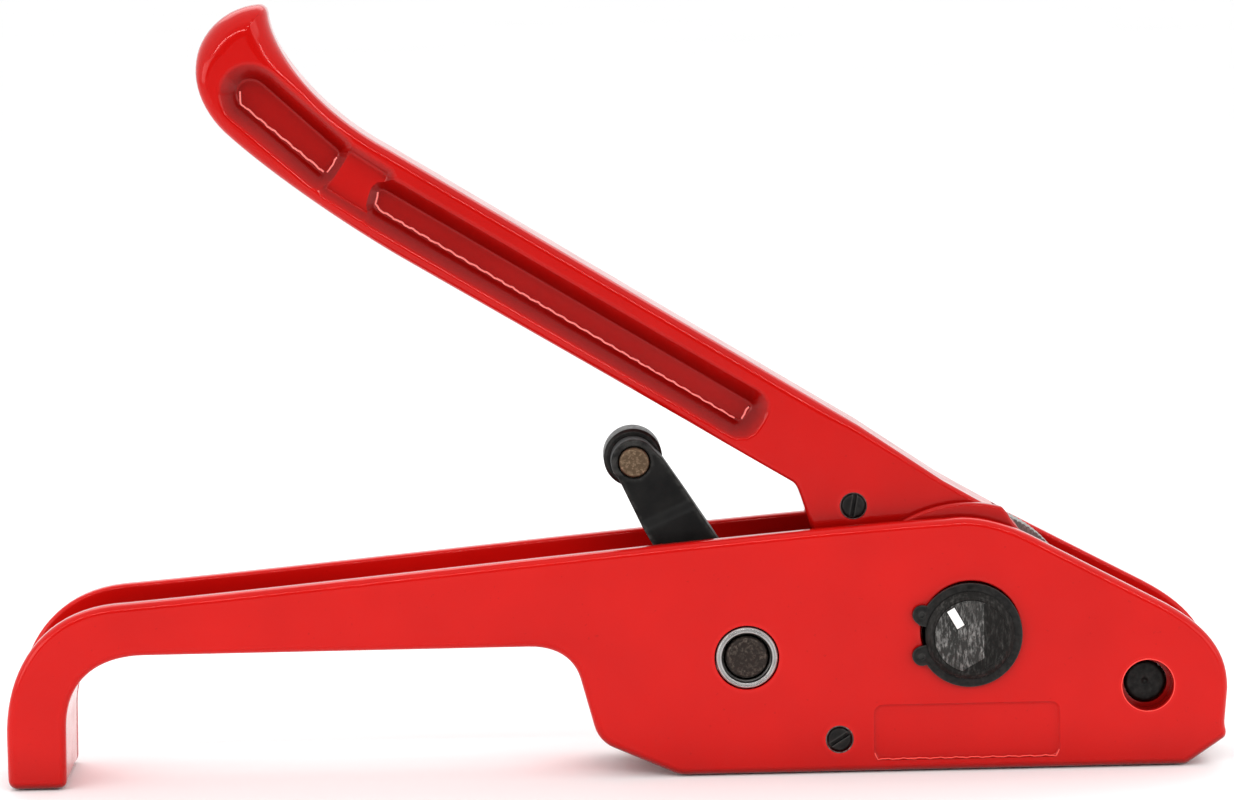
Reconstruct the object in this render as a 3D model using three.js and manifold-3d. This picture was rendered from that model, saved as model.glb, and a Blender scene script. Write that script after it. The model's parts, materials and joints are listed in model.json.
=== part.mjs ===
// Hand tensioner for strapping: a cast channel frame with a carrying handle, a rocker that carries
// the feed wheel, a long ratchet lever and a release lever with a roller.
// Millimetres. X runs from the handle to the nose, Y from the closed side to the strap side, Z up.
// The origin is on the underside of the base, straight below the wheel shaft.
import * as THREE from "three";
import { mergeVertices } from "three/addons/utils/BufferGeometryUtils.js";
import Module from "manifold-3d";

const wasm = await Module();
wasm.setup();

// ---- driving dimensions ----
const GAP = 0.3; // between pieces that touch

const SHAFT = { x: 0, z: 37.4, r: 12 }; // wheel shaft, and the lever's axis
const NOSE_PIN = { x: 48.5, z: 22.3, r: 5.6 }; // the rocker's axis
const RELEASE_PIN = { x: -60.3, z: 32.2, r: 5.75 };
const DRIVE_PIN = { x: -30.4, z: 71.7, r: 2.6 };
const HOLDING_PIN = { x: -33.5, z: 21.8, r: 2.5 };
const ANCHOR = { x: -35.4, z: 9.2, r: 2.6 };
const ROLLER = { x: -89.6, z: 84.6, r: 8 };
const SCREW_HEAD_R = 3.25;
const LOCK = { x: NOSE_PIN.x, y: -4, r: 1.5 }; // the upright pin through the rocker's axis
const TOE = { x: -46, z: 32.5, r: 4.1 }; // where the release lever meets the rocker's tail

const WALL_OUT = 19; // half the frame's width
const WALL_IN = 14;
const CHEEK = [10.6, 13.6]; // the rocker's cheeks, from the middle plane
const PRONG = [7, 10.2]; // the tension lever's fork
const FLOOR = 4.8;
const HANDLE_FLOOR = 41;
const STRAP_SLOT_TOP = 10.6;
const STRAP_SLOT_Y = -2;
const SHAFT_HOLE_R = 13.5; // in the walls: wide enough for the shaft to lift
const NOSE_HOLE_R = 6.85;
const BUSHING_R = [6.25, 8.35]; // round the release pin
const PANEL = { x: [-26, 24.4], z: [3.2, 18.4], corner: 1.6, depth: 0.5 }; // blank, on the near wall

const CHEEK_R = 29.5;
const CROWN_R = 35; // the near cheek stands higher behind the shaft
const WHEEL_R = 32;
const WHEEL_TEETH = 48;
const WHEEL_Y = [-1.8, 6.6];
const RATCHET = { tip: 20.5, root: 17.7, teeth: 24, y: [-6.6, -2.2] };
const TOOTH_AT = 84; // a tooth face stands at this angle from +X
const PAWL_Y = [-6.4, -2.6];
const PITCH = 360 / RATCHET.teeth;
const WHEEL_ROOM_R = 33.2; // inside the fork
const HUB_R = 21; // of the fork
const BUSH_R = 14.2; // outside of the fork's bushes
const SHAFT_HEAD_R = 14.4;
const GROOVE_R = 11; // for the circlip

const ROUND = 32; // segments of a large circle
const SMALL = 16; // and of a small one
const OUT = 30; // a cutter that ends here is clear of the tool on either side

// ---- materials ----
const finish = (color, roughness, metalness) =>
  new THREE.MeshStandardMaterial({ color, roughness, metalness });
const redPaint = finish(0xd2221f, 0.3, 0.0);
const blackOxide = finish(0x24221f, 0.45, 0.7);
const bareSteel = finish(0xa7a6a0, 0.35, 1.0);
const toolSteel = finish(0x5c5852, 0.45, 0.9);
const springSteel = finish(0x77736c, 0.35, 1.0);
const bronze = finish(0x9a7440, 0.4, 1.0);

// ---- joining and cutting ----
function solid(geometry) {
  const bare = new THREE.BufferGeometry();
  const flat = geometry.index ? geometry.toNonIndexed() : geometry;
  bare.setAttribute("position", flat.getAttribute("position"));
  const merged = mergeVertices(bare, 1e-3);
  return new wasm.Manifold(
    new wasm.Mesh({
      numProp: 3,
      vertProperties: merged.attributes.position.array,
      triVerts: new Uint32Array(merged.index.array),
    }),
  );
}

const join = (...solids) => solids.reduce((a, b) => a.add(b));
const cut = (body, ...tools) => tools.reduce((a, b) => a.subtract(b), body);

function geometryOf(body) {
  const { vertProperties, triVerts } = body.getMesh();
  const geometry = new THREE.BufferGeometry();
  geometry.setAttribute(
    "position",
    new THREE.BufferAttribute(new Float32Array(vertProperties), 3),
  );
  geometry.setIndex(new THREE.BufferAttribute(new Uint32Array(triVerts), 1));
  return geometry;
}

// ---- shape helpers: outlines are drawn in X and Z, and pulled along Y ----
const polar = (r, degrees, centre = SHAFT) => [
  centre.x + r * Math.cos(THREE.MathUtils.degToRad(degrees)),
  centre.z + r * Math.sin(THREE.MathUtils.degToRad(degrees)),
];

function outline(points) {
  return new THREE.Shape(points.map(([x, z]) => new THREE.Vector2(x, z)));
}

// A slab of an outline between two distances along Y.
function slab(shape, y0, y1, curveSegments = 12) {
  const geometry = new THREE.ExtrudeGeometry(shape, {
    depth: y1 - y0,
    bevelEnabled: false,
    curveSegments,
  });
  geometry.rotateX(Math.PI / 2);
  geometry.translate(0, y1, 0);
  return solid(geometry);
}

function disc(centre, r, y0, y1, segments = SMALL) {
  const geometry = new THREE.CylinderGeometry(r, r, y1 - y0, segments);
  geometry.translate(centre.x, (y0 + y1) / 2, centre.z);
  return solid(geometry);
}

function box(x0, x1, y0, y1, z0, z1) {
  const geometry = new THREE.BoxGeometry(x1 - x0, y1 - y0, z1 - z0);
  geometry.translate((x0 + x1) / 2, (y0 + y1) / 2, (z0 + z1) / 2);
  return solid(geometry);
}

// Turned about an axis along Y through a centre: pairs of radius and Y.
function turned(centre, profile, segments = SMALL) {
  const points = profile.map(([r, y]) => new THREE.Vector2(r, y));
  const geometry = new THREE.LatheGeometry(points, segments);
  geometry.translate(centre.x, 0, centre.z);
  return solid(geometry);
}

// A closed ring of rectangular section about an axis along Y.
function ring(centre, inner, outer, y0, y1, segments = SMALL) {
  return turned(
    centre,
    [
      [inner, y0],
      [outer, y0],
      [outer, y1],
      [inner, y1],
      [inner, y0],
    ],
    segments,
  );
}

// A tapered pocket: an outline at its floor that widens evenly towards its open side.
function pocket(shape, floorY, openY, draft) {
  const depth = Math.abs(openY - floorY);
  const geometry = new THREE.ExtrudeGeometry(shape, {
    depth: 2,
    bevelThickness: depth,
    bevelSize: draft,
    bevelSegments: 1,
    curveSegments: 5,
  });
  geometry.rotateX(Math.PI / 2);
  const outward = Math.sign(openY - floorY);
  // pulled towards -Y by the turn, so the low end of its first bevel is at +depth
  if (outward < 0) geometry.translate(0, floorY - depth, 0);
  else geometry.translate(0, floorY + depth + 2, 0);
  return solid(geometry);
}

function tube(points, r, steps, sides = 6) {
  const section = new THREE.Shape();
  section.absarc(0, 0, r, 0, 2 * Math.PI);
  const path = new THREE.CatmullRomCurve3(points, false, "centripetal");
  return solid(
    new THREE.ExtrudeGeometry(section, {
      steps,
      curveSegments: sides / 2,
      extrudePath: path,
    }),
  );
}

// A torsion spring about an axis along Y, with a straight leg at each end.
function torsionSpring(centre, { r, wire, y0, y1, turns, from, legs }) {
  const stepsPerTurn = 10;
  const count = Math.round(turns * stepsPerTurn);
  const coil = [];
  for (let i = 0; i <= count; i++) {
    const [x, z] = polar(r, from + (360 * turns * i) / count, centre);
    coil.push(new THREE.Vector3(x, y0 + ((y1 - y0) * i) / count, z));
  }
  const legPoint = ([x, y, z]) => new THREE.Vector3(x, y, z);
  const points = [...legs[0].map(legPoint), ...coil, ...legs[1].map(legPoint)];
  return tube(points, wire / 2, points.length);
}

// A slotted pan: a head on a shank, its head towards -Y.
function slottedScrew(centre, headY, headHeight, endY, slotAngle) {
  const head = turned(centre, [
    [0, headY],
    [SCREW_HEAD_R - 0.5, headY],
    [SCREW_HEAD_R, headY + 0.5],
    [SCREW_HEAD_R, headY + headHeight],
    [centre.r, headY + headHeight],
    [centre.r, endY],
    [0, endY],
  ]);
  const slot = new THREE.BoxGeometry(2 * SCREW_HEAD_R + 2, 2.4, 1.1);
  slot.rotateY(-THREE.MathUtils.degToRad(slotAngle));
  slot.translate(centre.x, headY, centre.z);
  return cut(head, solid(slot));
}

// ---- frame ----
function frameOutline() {
  const s = new THREE.Shape();
  s.moveTo(59, 0);
  s.lineTo(69.7, 7.2);
  s.lineTo(70.1, 8.6);
  s.lineTo(69.6, 11);
  s.lineTo(70.4, 21);
  s.bezierCurveTo(70.4, 33, 62, 40, 50, 46.2);
  s.lineTo(18.9, 62.7);
  s.bezierCurveTo(11.5, 66.8, 3, 70, -6, 68.8);
  s.bezierCurveTo(-60, 66.3, -180, 53.6, -230.4, 50);
  s.bezierCurveTo(-250, 48.2, -260.2, 33, -260.2, 14);
  s.lineTo(-260.2, 3);
  s.quadraticCurveTo(-260.2, 0, -257.2, 0);
  s.lineTo(-247, 0);
  s.quadraticCurveTo(-244.4, 0, -244.4, 2.4);
  s.lineTo(-244.1, 17);
  s.bezierCurveTo(-243.8, 29, -236, 35.8, -223, 36);
  s.lineTo(-119, 36.1);
  s.bezierCurveTo(-112, 36.1, -107, 33, -105.3, 27.2);
  s.lineTo(-101.8, 14.2);
  s.quadraticCurveTo(-100.6, 9.6, -96.4, 7.8);
  s.lineTo(-80.6, 0.8);
  s.quadraticCurveTo(-79, 0, -77, 0);
  return s;
}

// The channel between the walls: it follows the underside, one floor thickness above it.
function channelOutline() {
  const s = new THREE.Shape();
  s.moveTo(90, FLOOR);
  s.lineTo(90, 100);
  s.lineTo(-280, 100);
  s.lineTo(-280, 9);
  s.lineTo(-249.2, 9);
  s.lineTo(-249.1, 17);
  s.bezierCurveTo(-248.8, 32, -240, HANDLE_FLOOR, -224, HANDLE_FLOOR);
  s.lineTo(-118, HANDLE_FLOOR);
  s.bezierCurveTo(-108, HANDLE_FLOOR, -102, 35, -100.3, 28);
  s.lineTo(-97, 16);
  s.quadraticCurveTo(-96, 13, -92, 11.4);
  s.lineTo(-76, FLOOR);
  return s;
}

function roundedPanel() {
  const { corner: r, x, z } = PANEL;
  const s = new THREE.Shape();
  s.moveTo(x[0] + r, z[0]);
  s.lineTo(x[1] - r, z[0]);
  s.absarc(x[1] - r, z[0] + r, r, -Math.PI / 2, 0);
  s.lineTo(x[1], z[1] - r);
  s.absarc(x[1] - r, z[1] - r, r, 0, Math.PI / 2);
  s.lineTo(x[0] + r, z[1]);
  s.absarc(x[0] + r, z[1] - r, r, Math.PI / 2, Math.PI);
  s.lineTo(x[0], z[0] + r);
  s.absarc(x[0] + r, z[0] + r, r, Math.PI, 1.5 * Math.PI);
  return s;
}

function baseFrame() {
  const channel = cut(
    slab(frameOutline(), -WALL_OUT, WALL_OUT, 10),
    slab(channelOutline(), -WALL_IN, WALL_IN, 8),
  );
  const bossed = join(
    channel,
    disc(NOSE_PIN, 8, -WALL_IN - 1, -10.4),
    disc(NOSE_PIN, 8, 10.4, WALL_IN + 1),
  );
  // the walls' holes for the shaft are centred on it at half of its lift
  const halfLifted = { x: SHAFT.x + 0.31, z: SHAFT.z + 1.02 };
  return cut(
    bossed,
    disc(halfLifted, SHAFT_HOLE_R, -OUT, -WALL_IN + 1, ROUND),
    disc(halfLifted, SHAFT_HOLE_R, WALL_IN - 1, OUT, ROUND),
    disc(RELEASE_PIN, BUSHING_R[1] + GAP, -OUT, OUT, ROUND),
    disc(NOSE_PIN, NOSE_PIN.r + GAP, -OUT, OUT),
    disc(NOSE_PIN, NOSE_HOLE_R, -OUT, -13.4),
    disc(NOSE_PIN, NOSE_HOLE_R, 13.4, OUT),
    disc(ANCHOR, ANCHOR.r + GAP, -OUT, -10),
    disc(ANCHOR, SCREW_HEAD_R + GAP, -OUT, -17),
    box(-120, 90, STRAP_SLOT_Y, OUT, FLOOR, STRAP_SLOT_TOP),
    box(-20.3, 20.3, -1.8, OUT, 1.8, 8),
    ...plateScrewPlaces.map((p) => uprightDisc(p, 2.3, -1, 3)),
    ...plateScrewPlaces.map((p) => uprightDisc(p, 3.8, -1, 1.1)),
    slab(roundedPanel(), -OUT, -WALL_OUT + PANEL.depth, 4),
  );
}

// ---- gripper plate and its screws, which come up from below ----
const plateScrewPlaces = [
  { x: -13, y: 9 },
  { x: 13, y: 9 },
];

function uprightDisc({ x, y }, r, z0, z1) {
  const geometry = new THREE.CylinderGeometry(r, r, z1 - z0, SMALL);
  geometry.rotateX(Math.PI / 2);
  geometry.translate(x, y, (z0 + z1) / 2);
  return solid(geometry);
}

function gripperPlate() {
  const top = 5.1;
  const groove = 2.4;
  const points = [
    [-20, 2.1],
    [20, 2.1],
    [20, top - 0.5],
  ];
  for (let x = 18; x > -18; x -= groove) {
    points.push([x, top - 0.5], [x - groove / 2, top]);
  }
  points.push([-20, top - 0.5]);
  return cut(
    slab(outline(points), -1.5, 18.7),
    ...plateScrewPlaces.map((p) => uprightDisc(p, 1.8, 0, 4.3)),
  );
}

const plateScrew = (p) => join(uprightDisc(p, 1.5, 0.7, 4), uprightDisc(p, 3.5, 0.15, 0.8));

// ---- pins and bushings in the frame ----
function chamferedPin(centre, y0, y1, chamfer = 0.6) {
  return turned(centre, [
    [0, y0],
    [centre.r - chamfer, y0],
    [centre.r, y0 + chamfer],
    [centre.r, y1 - chamfer],
    [centre.r - chamfer, y1],
    [0, y1],
  ]);
}

// ---- rocker ----
function cheekOutline(crowned) {
  const s = new THREE.Shape();
  const arc = (r, start, end) => {
    const [from, to] = [start, end].map(THREE.MathUtils.degToRad);
    s.absarc(SHAFT.x, SHAFT.z, r, from, to);
  };
  s.moveTo(38, 13);
  s.lineTo(38, 31);
  s.lineTo(...polar(CHEEK_R, 8));
  arc(CHEEK_R, 8, crowned ? 52 : 148);
  if (crowned) {
    s.lineTo(12.5, 66.9);
    s.lineTo(11.2, 69.2);
    s.lineTo(...polar(CROWN_R, 74));
    arc(CROWN_R, 74, 148);
  }
  s.lineTo(-43, 46);
  s.quadraticCurveTo(-49.5, 46, -49.5, 42);
  s.lineTo(-49.5, 36.9);
  s.lineTo(-43, 33);
  s.lineTo(HOLDING_PIN.x - 6.3, HOLDING_PIN.z + 1.5);
  s.absarc(HOLDING_PIN.x, HOLDING_PIN.z, 6.5, 2.9, 1.4 * Math.PI);
  s.lineTo(-24, 13);
  return s;
}

function rocker() {
  const cheeks = join(
    slab(cheekOutline(true), -CHEEK[1], -CHEEK[0], 20),
    slab(cheekOutline(false), CHEEK[0], CHEEK[1], 20),
  );
  const tail = slab(
    outline([
      [-49.5, 36.9],
      [-37, 36.9],
      [-37, 46],
      [-46, 46],
      [-49.5, 43],
    ]),
    -CHEEK[0] - 1,
    CHEEK[0] + 1,
  );
  const nose = join(
    slab(
      outline([
        [34.5, 13],
        [38, 13],
        [38, 29],
        [34.5, 29],
      ]),
      -CHEEK[0] - 1,
      CHEEK[0] + 1,
    ),
    slab(
      outline([
        [36, 14],
        [48, 13.3],
        [48, 31.2],
        [36, 29],
      ]),
      -10,
      3,
    ),
    disc(NOSE_PIN, 9, -10, 3, ROUND),
  );
  return cut(
    join(cheeks, tail, nose),
    disc(SHAFT, SHAFT.r + GAP, -OUT, OUT, ROUND),
    disc(NOSE_PIN, NOSE_PIN.r + GAP, -OUT, OUT),
    disc(HOLDING_PIN, HOLDING_PIN.r + GAP, -OUT, OUT),
    lockHole(),
  );
}

const lockHole = () => uprightDisc(LOCK, LOCK.r + GAP, NOSE_PIN.z - 20, NOSE_PIN.z + 20);

// ---- wheel set ----
function shaft() {
  const r = SHAFT.r;
  const near = -22;
  const body = turned(
    SHAFT,
    [
      [0, near],
      [r - 1.2, near],
      [r, near + 1.0],
      [r, -20.9],
      [GROOVE_R, -20.9],
      [GROOVE_R, -19.1],
      [r, -19.1],
      [r, 19.4],
      [SHAFT_HEAD_R, 19.4],
      [SHAFT_HEAD_R, 20.6],
      [SHAFT_HEAD_R - 0.8, 21.4],
      [0, 21.4],
    ],
    ROUND,
  );
  return cut(body, keyWay());
}

const keyWay = () => box(-2.3, 2.3, RATCHET.y[0] - 0.1, WHEEL_Y[1] + 0.1, SHAFT.z + 9.7, SHAFT.z + 14.6);

function circlip() {
  const bore = GROOVE_R + GAP;
  const clip = ring(SHAFT, bore, 14.2, -20.6, -19.4, ROUND);
  const mouth = slab(
    outline([
      [SHAFT.x, SHAFT.z],
      polar(22, 168),
      polar(22, 192),
    ]),
    -22,
    -19,
  );
  const lug = (degrees) => disc({ ...pointAt(polar(14.1, degrees)) }, 2.3, -20.6, -19.4);
  const eye = (degrees) => disc({ ...pointAt(polar(14.3, degrees)) }, 0.95, -22, -19, 12);
  const ears = cut(
    join(lug(156), lug(203)),
    disc(SHAFT, bore, -22, -19, ROUND),
  );
  return cut(join(cut(clip, mouth), ears), eye(156), eye(203));
}

const pointAt = ([x, z]) => ({ x, z });

function ratchet() {
  const points = [];
  for (let i = 0; i < RATCHET.teeth; i++) {
    const face = TOOTH_AT + PITCH * i;
    points.push(polar(RATCHET.tip, face), polar(RATCHET.root, face + 0.3));
  }
  return cut(
    slab(outline(points), ...RATCHET.y),
    disc(SHAFT, SHAFT.r + GAP, -OUT, OUT, ROUND),
    keyWay(),
  );
}

function feedWheel() {
  const points = [];
  const step = 360 / WHEEL_TEETH;
  for (let i = 0; i < WHEEL_TEETH; i++) {
    points.push(polar(WHEEL_R, step * i), polar(WHEEL_R - 0.9, step * (i + 0.5)));
  }
  const relief = ring(SHAFT, 16.5, 27, WHEEL_Y[0] - 1, WHEEL_Y[0] + 1.2, ROUND);
  return cut(
    slab(outline(points), ...WHEEL_Y),
    disc(SHAFT, SHAFT.r + GAP, -OUT, OUT, ROUND),
    keyWay(),
    relief,
  );
}

const key = () =>
  box(-2, 2, RATCHET.y[0] + 0.2, WHEEL_Y[1] - 0.2, SHAFT.z + 10, SHAFT.z + 14.2);

// ---- tension lever ----
function leverOutline() {
  const s = new THREE.Shape();
  s.moveTo(-47, 78.6);
  s.lineTo(-152, 141.7);
  s.bezierCurveTo(-168, 151.6, -187, 165.5, -197.7, 175.7);
  s.bezierCurveTo(-204, 182, -206.2, 190, -204.6, 196.5);
  s.bezierCurveTo(-203, 203, -196.5, 208.9, -188.3, 209.4);
  s.quadraticCurveTo(-186, 209.4, -185.6, 206.9);
  s.bezierCurveTo(-184.6, 196.5, -172, 180.5, -154.2, 170.5);
  s.lineTo(-28.8, 93.5);
  s.lineTo(-6, 78);
  s.lineTo(11.6, 67.8);
  s.quadraticCurveTo(14.4, 66, 15.2, 62.5);
  s.lineTo(...polar(HUB_R, 12));
  s.absarc(
    SHAFT.x,
    SHAFT.z,
    HUB_R,
    THREE.MathUtils.degToRad(12),
    THREE.MathUtils.degToRad(200),
    true,
  );
  s.lineTo(-41.8, 65.4);
  s.quadraticCurveTo(-44, 73, -45.4, 76.6);
  s.quadraticCurveTo(-46, 78, -47, 78.6);
  return s;
}

function gripPocket() {
  const s = new THREE.Shape();
  s.moveTo(-193.5, 183.5);
  s.bezierCurveTo(-196, 188.5, -191, 191.5, -187.2, 188);
  s.lineTo(-167.2, 169.6);
  s.lineTo(-171.2, 163.8);
  s.closePath();
  return s;
}

function stemPocket() {
  return outline([
    [-158.4, 154.8],
    [-156.6, 160],
    [-57.2, 99.4],
    [-60.2, 94.8],
  ]);
}

// The shallow step between the two pockets.
function pocketStep() {
  return outline([
    [-171, 160.4],
    [-164.4, 169.9],
    [-154.5, 163.3],
    [-160.2, 153.5],
  ]);
}

function tensionLever() {
  const half = PRONG[1];
  const floorDepth = 4.2;
  const stepDepth = 2.1;
  const slope = 4.5 / floorDepth; // how far a pocket's side leans out for its depth
  const pockets = [
    [gripPocket(), floorDepth],
    [stemPocket(), floorDepth],
    [pocketStep(), stepDepth],
  ].flatMap(([shape, depth]) => [
    pocket(shape, -half + depth, -half, slope * depth),
    pocket(shape, half - depth, half, slope * depth),
  ]);
  const pawlRoom = outline([
    [-38.5, 63],
    [-40, 72],
    [-36, 80],
    [-28, 82],
    [-4, 71],
    [-16, 58],
  ]);
  return cut(
    slab(leverOutline(), -half, half, 10),
    ...pockets,
    disc(SHAFT, WHEEL_ROOM_R, -PRONG[0], PRONG[0], ROUND),
    slab(pawlRoom, -PRONG[0], -1.9),
    disc(DRIVE_PIN, 5.2, -3, 6),
    disc(SHAFT, BUSH_R + GAP, -OUT, OUT, ROUND),
    disc(DRIVE_PIN, DRIVE_PIN.r + GAP, -OUT, 9.4),
    disc(DRIVE_PIN, SCREW_HEAD_R + GAP, -OUT, -8.2),
  );
}

const leverBush = (y0, y1) => ring(SHAFT, SHAFT.r + GAP, BUSH_R, y0, y1, ROUND);

// ---- pawls ----
// The nose that fits a tooth space, as points about the shaft, from its face outwards.
function pawlNose(face) {
  return {
    tip: polar(19.1, face + 1.1),
    top: polar(22.4, face + 1.4),
    heel: polar(20.9, face + 9.6),
  };
}

function pawl(pin, face, bossR, under, over) {
  const nose = pawlNose(face);
  const body = outline([nose.tip, nose.top, ...over, ...under, nose.heel]);
  return cut(
    join(slab(body, ...PAWL_Y), disc(pin, bossR, ...PAWL_Y)),
    disc(pin, pin.r + GAP, -OUT, OUT),
  );
}

const drivePawl = () =>
  pawl(
    DRIVE_PIN,
    TOOTH_AT,
    6,
    [[-33, 66.4]],
    [
      [-4, 64.5],
      [-27.5, 77],
    ],
  );

const holdingPawl = () =>
  pawl(
    HOLDING_PIN,
    TOOTH_AT + 5 * PITCH,
    5.4,
    [[-28.4, 20]],
    [
      [-27, 42],
      [-38.6, 23.4],
    ],
  );

// ---- release lever ----
function releaseArm() {
  const s = new THREE.Shape();
  const r = 6.3;
  s.moveTo(-70.6, 30);
  s.lineTo(-74, 44);
  s.quadraticCurveTo(-82, 57, -87.9, 67.3);
  s.lineTo(-94.2, 80.8);
  s.absarc(ROLLER.x, ROLLER.z, r, 3.7, 0.6, true);
  s.lineTo(-81.9, 85.6);
  s.lineTo(-75.7, 76.4);
  s.lineTo(-67.4, 63.7);
  s.lineTo(-51.2, 38.8);
  s.lineTo(RELEASE_PIN.x, RELEASE_PIN.z);
  return s;
}

const RELEASE_ARM_Y = [-9, -1];

function releaseLever() {
  const hub = disc(RELEASE_PIN, 10.5, RELEASE_ARM_Y[0], 13.3, ROUND);
  const toe = join(
    disc(TOE, TOE.r, -9, 9),
    slab(
      outline([
        [-60, 23],
        [-46, 28.4],
        [-46, 36.6],
        [-60, 36.6],
      ]),
      -9,
      9,
    ),
  );
  const swell = slab(
    outline([
      [-76.5, 46],
      [-87.2, 66.6],
      [-77, 71.2],
      [-58, 46],
    ]),
    -10.8,
    -8,
  );
  return cut(
    join(slab(releaseArm(), ...RELEASE_ARM_Y, 8), hub, toe, swell),
    disc(RELEASE_PIN, RELEASE_PIN.r + GAP, -OUT, OUT),
    disc(ROLLER_PIN, ROLLER_PIN.r + GAP, -OUT, OUT),
  );
}

const ROLLER_PIN = { x: ROLLER.x, z: ROLLER.z, r: 4.1 };

function rollerPin() {
  return turned(ROLLER_PIN, [
    [0, -9.8],
    [3.6, -9.8],
    [4.1, -9.3],
    [4.1, 9.6],
    [3.4, 9.6],
    [3.4, 10.7],
    [4.1, 10.7],
    [4.1, 11.4],
    [0, 11.4],
  ]);
}

const rollerRing = () => ring(ROLLER, ROLLER_PIN.r + GAP, ROLLER.r, -0.6, 9.3, ROUND);

function rollerClip() {
  const clip = ring(ROLLER_PIN, 3.6, 6, 9.75, 10.5);
  return cut(clip, box(ROLLER.x - 1.6, ROLLER.x + 1.6, 9, 12, ROLLER.z - 10, ROLLER.z));
}

// ---- the assembly ----
const tool = new THREE.Group();
tool.name = "strapping_tensioner";

function place(group, name, body, material) {
  const mesh = new THREE.Mesh(geometryOf(body), material);
  mesh.name = name;
  group.add(mesh);
}

const frameGroup = new THREE.Group();
place(frameGroup, "base_frame", baseFrame(), redPaint);
place(frameGroup, "gripper_plate", gripperPlate(), toolSteel);
plateScrewPlaces.forEach((p, i) =>
  place(frameGroup, `gripper_plate_screw_${i + 1}`, plateScrew(p), blackOxide),
);
place(
  frameGroup,
  "rocker_pivot_pin",
  cut(chamferedPin(NOSE_PIN, -13, 13), uprightDisc(LOCK, LOCK.r + GAP, NOSE_PIN.z - 9, NOSE_PIN.z + 9)),
  blackOxide,
);
place(frameGroup, "release_pivot_pin", chamferedPin(RELEASE_PIN, -18.7, 18.7), toolSteel);
for (const [name, y0, y1] of [
  ["release_bushing_near", -19.5, -13.7],
  ["release_bushing_far", 13.7, 19.5],
]) {
  place(frameGroup, name, ring(RELEASE_PIN, ...BUSHING_R, y0, y1, ROUND), bareSteel);
}
place(frameGroup, "spring_anchor_screw", slottedScrew(ANCHOR, -18.9, 1.5, -9.4, 32), blackOxide);
tool.add(frameGroup);

const rockerGroup = new THREE.Group();
place(rockerGroup, "rocker", rocker(), redPaint);
const lockPin = uprightDisc(LOCK, LOCK.r, NOSE_PIN.z - 7.5, NOSE_PIN.z + 8.4);
place(rockerGroup, "rocker_pin_lock", lockPin, springSteel);
place(rockerGroup, "holding_pawl_pin", chamferedPin(HOLDING_PIN, -13.5, 13.5, 0.4), bareSteel);
place(rockerGroup, "holding_pawl", holdingPawl(), toolSteel);
tool.add(rockerGroup);

const wheelGroup = new THREE.Group();
place(wheelGroup, "wheel_shaft", shaft(), toolSteel);
place(wheelGroup, "shaft_circlip", circlip(), blackOxide);
place(wheelGroup, "ratchet_wheel", ratchet(), toolSteel);
place(wheelGroup, "feed_wheel", feedWheel(), bareSteel);
place(wheelGroup, "wheel_key", key(), bareSteel);
tool.add(wheelGroup);

const leverGroup = new THREE.Group();
place(leverGroup, "tension_lever", tensionLever(), redPaint);
place(leverGroup, "lever_bush_near", leverBush(-PRONG[1], -PRONG[0] - 0.2), bronze);
place(leverGroup, "lever_bush_far", leverBush(PRONG[0] + 0.2, PRONG[1]), bronze);
place(leverGroup, "drive_pawl_screw", slottedScrew(DRIVE_PIN, -10.4, 1.8, 9, 80), blackOxide);
place(leverGroup, "drive_pawl", drivePawl(), toolSteel);
tool.add(leverGroup);

const releaseGroup = new THREE.Group();
place(releaseGroup, "release_lever", releaseLever(), blackOxide);
place(releaseGroup, "roller_pin", rollerPin(), bronze);
place(releaseGroup, "release_roller", rollerRing(), blackOxide);
place(releaseGroup, "roller_clip", rollerClip(), springSteel);
tool.add(releaseGroup);

const springs = {
  release_spring: [
    RELEASE_PIN,
    {
      r: 8.2,
      wire: 1.5,
      y0: -12.6,
      y1: -10.2,
      turns: 1.5,
      from: -60,
      legs: [
        [
          [-38.6, -12.6, 13.4],
          [-45, -12.6, 18.5],
        ],
        [
          [-70.5, -10.2, 38],
          [-72, -10.2, 43],
        ],
      ],
    },
  ],
  rocker_spring: [
    NOSE_PIN,
    {
      r: 7.4,
      wire: 1.5,
      y0: 4.4,
      y1: 9,
      turns: 2.5,
      from: 90,
      legs: [
        [
          [39.4, 4.4, 31],
          [43, 4.4, 30.4],
        ],
        [
          [56, 9, 12],
          [60, 9, 6.2],
        ],
      ],
    },
  ],
  drive_pawl_spring: [
    DRIVE_PIN,
    {
      r: 4,
      wire: 0.8,
      y0: 0,
      y1: 5,
      turns: 3.5,
      from: 100,
      legs: [[], []],
    },
  ],
  holding_pawl_spring: [
    HOLDING_PIN,
    {
      r: 3.6,
      wire: 0.8,
      y0: 1,
      y1: 7,
      turns: 4,
      from: 200,
      legs: [[], []],
    },
  ],
};
for (const [name, [centre, sizes]] of Object.entries(springs)) {
  place(tool, name, torsionSpring(centre, sizes), springSteel);
}

export default tool;
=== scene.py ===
import json
import math

import bmesh
import bpy
from mathutils import Matrix, Vector
from mathutils.geometry import intersect_line_line_2d

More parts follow.
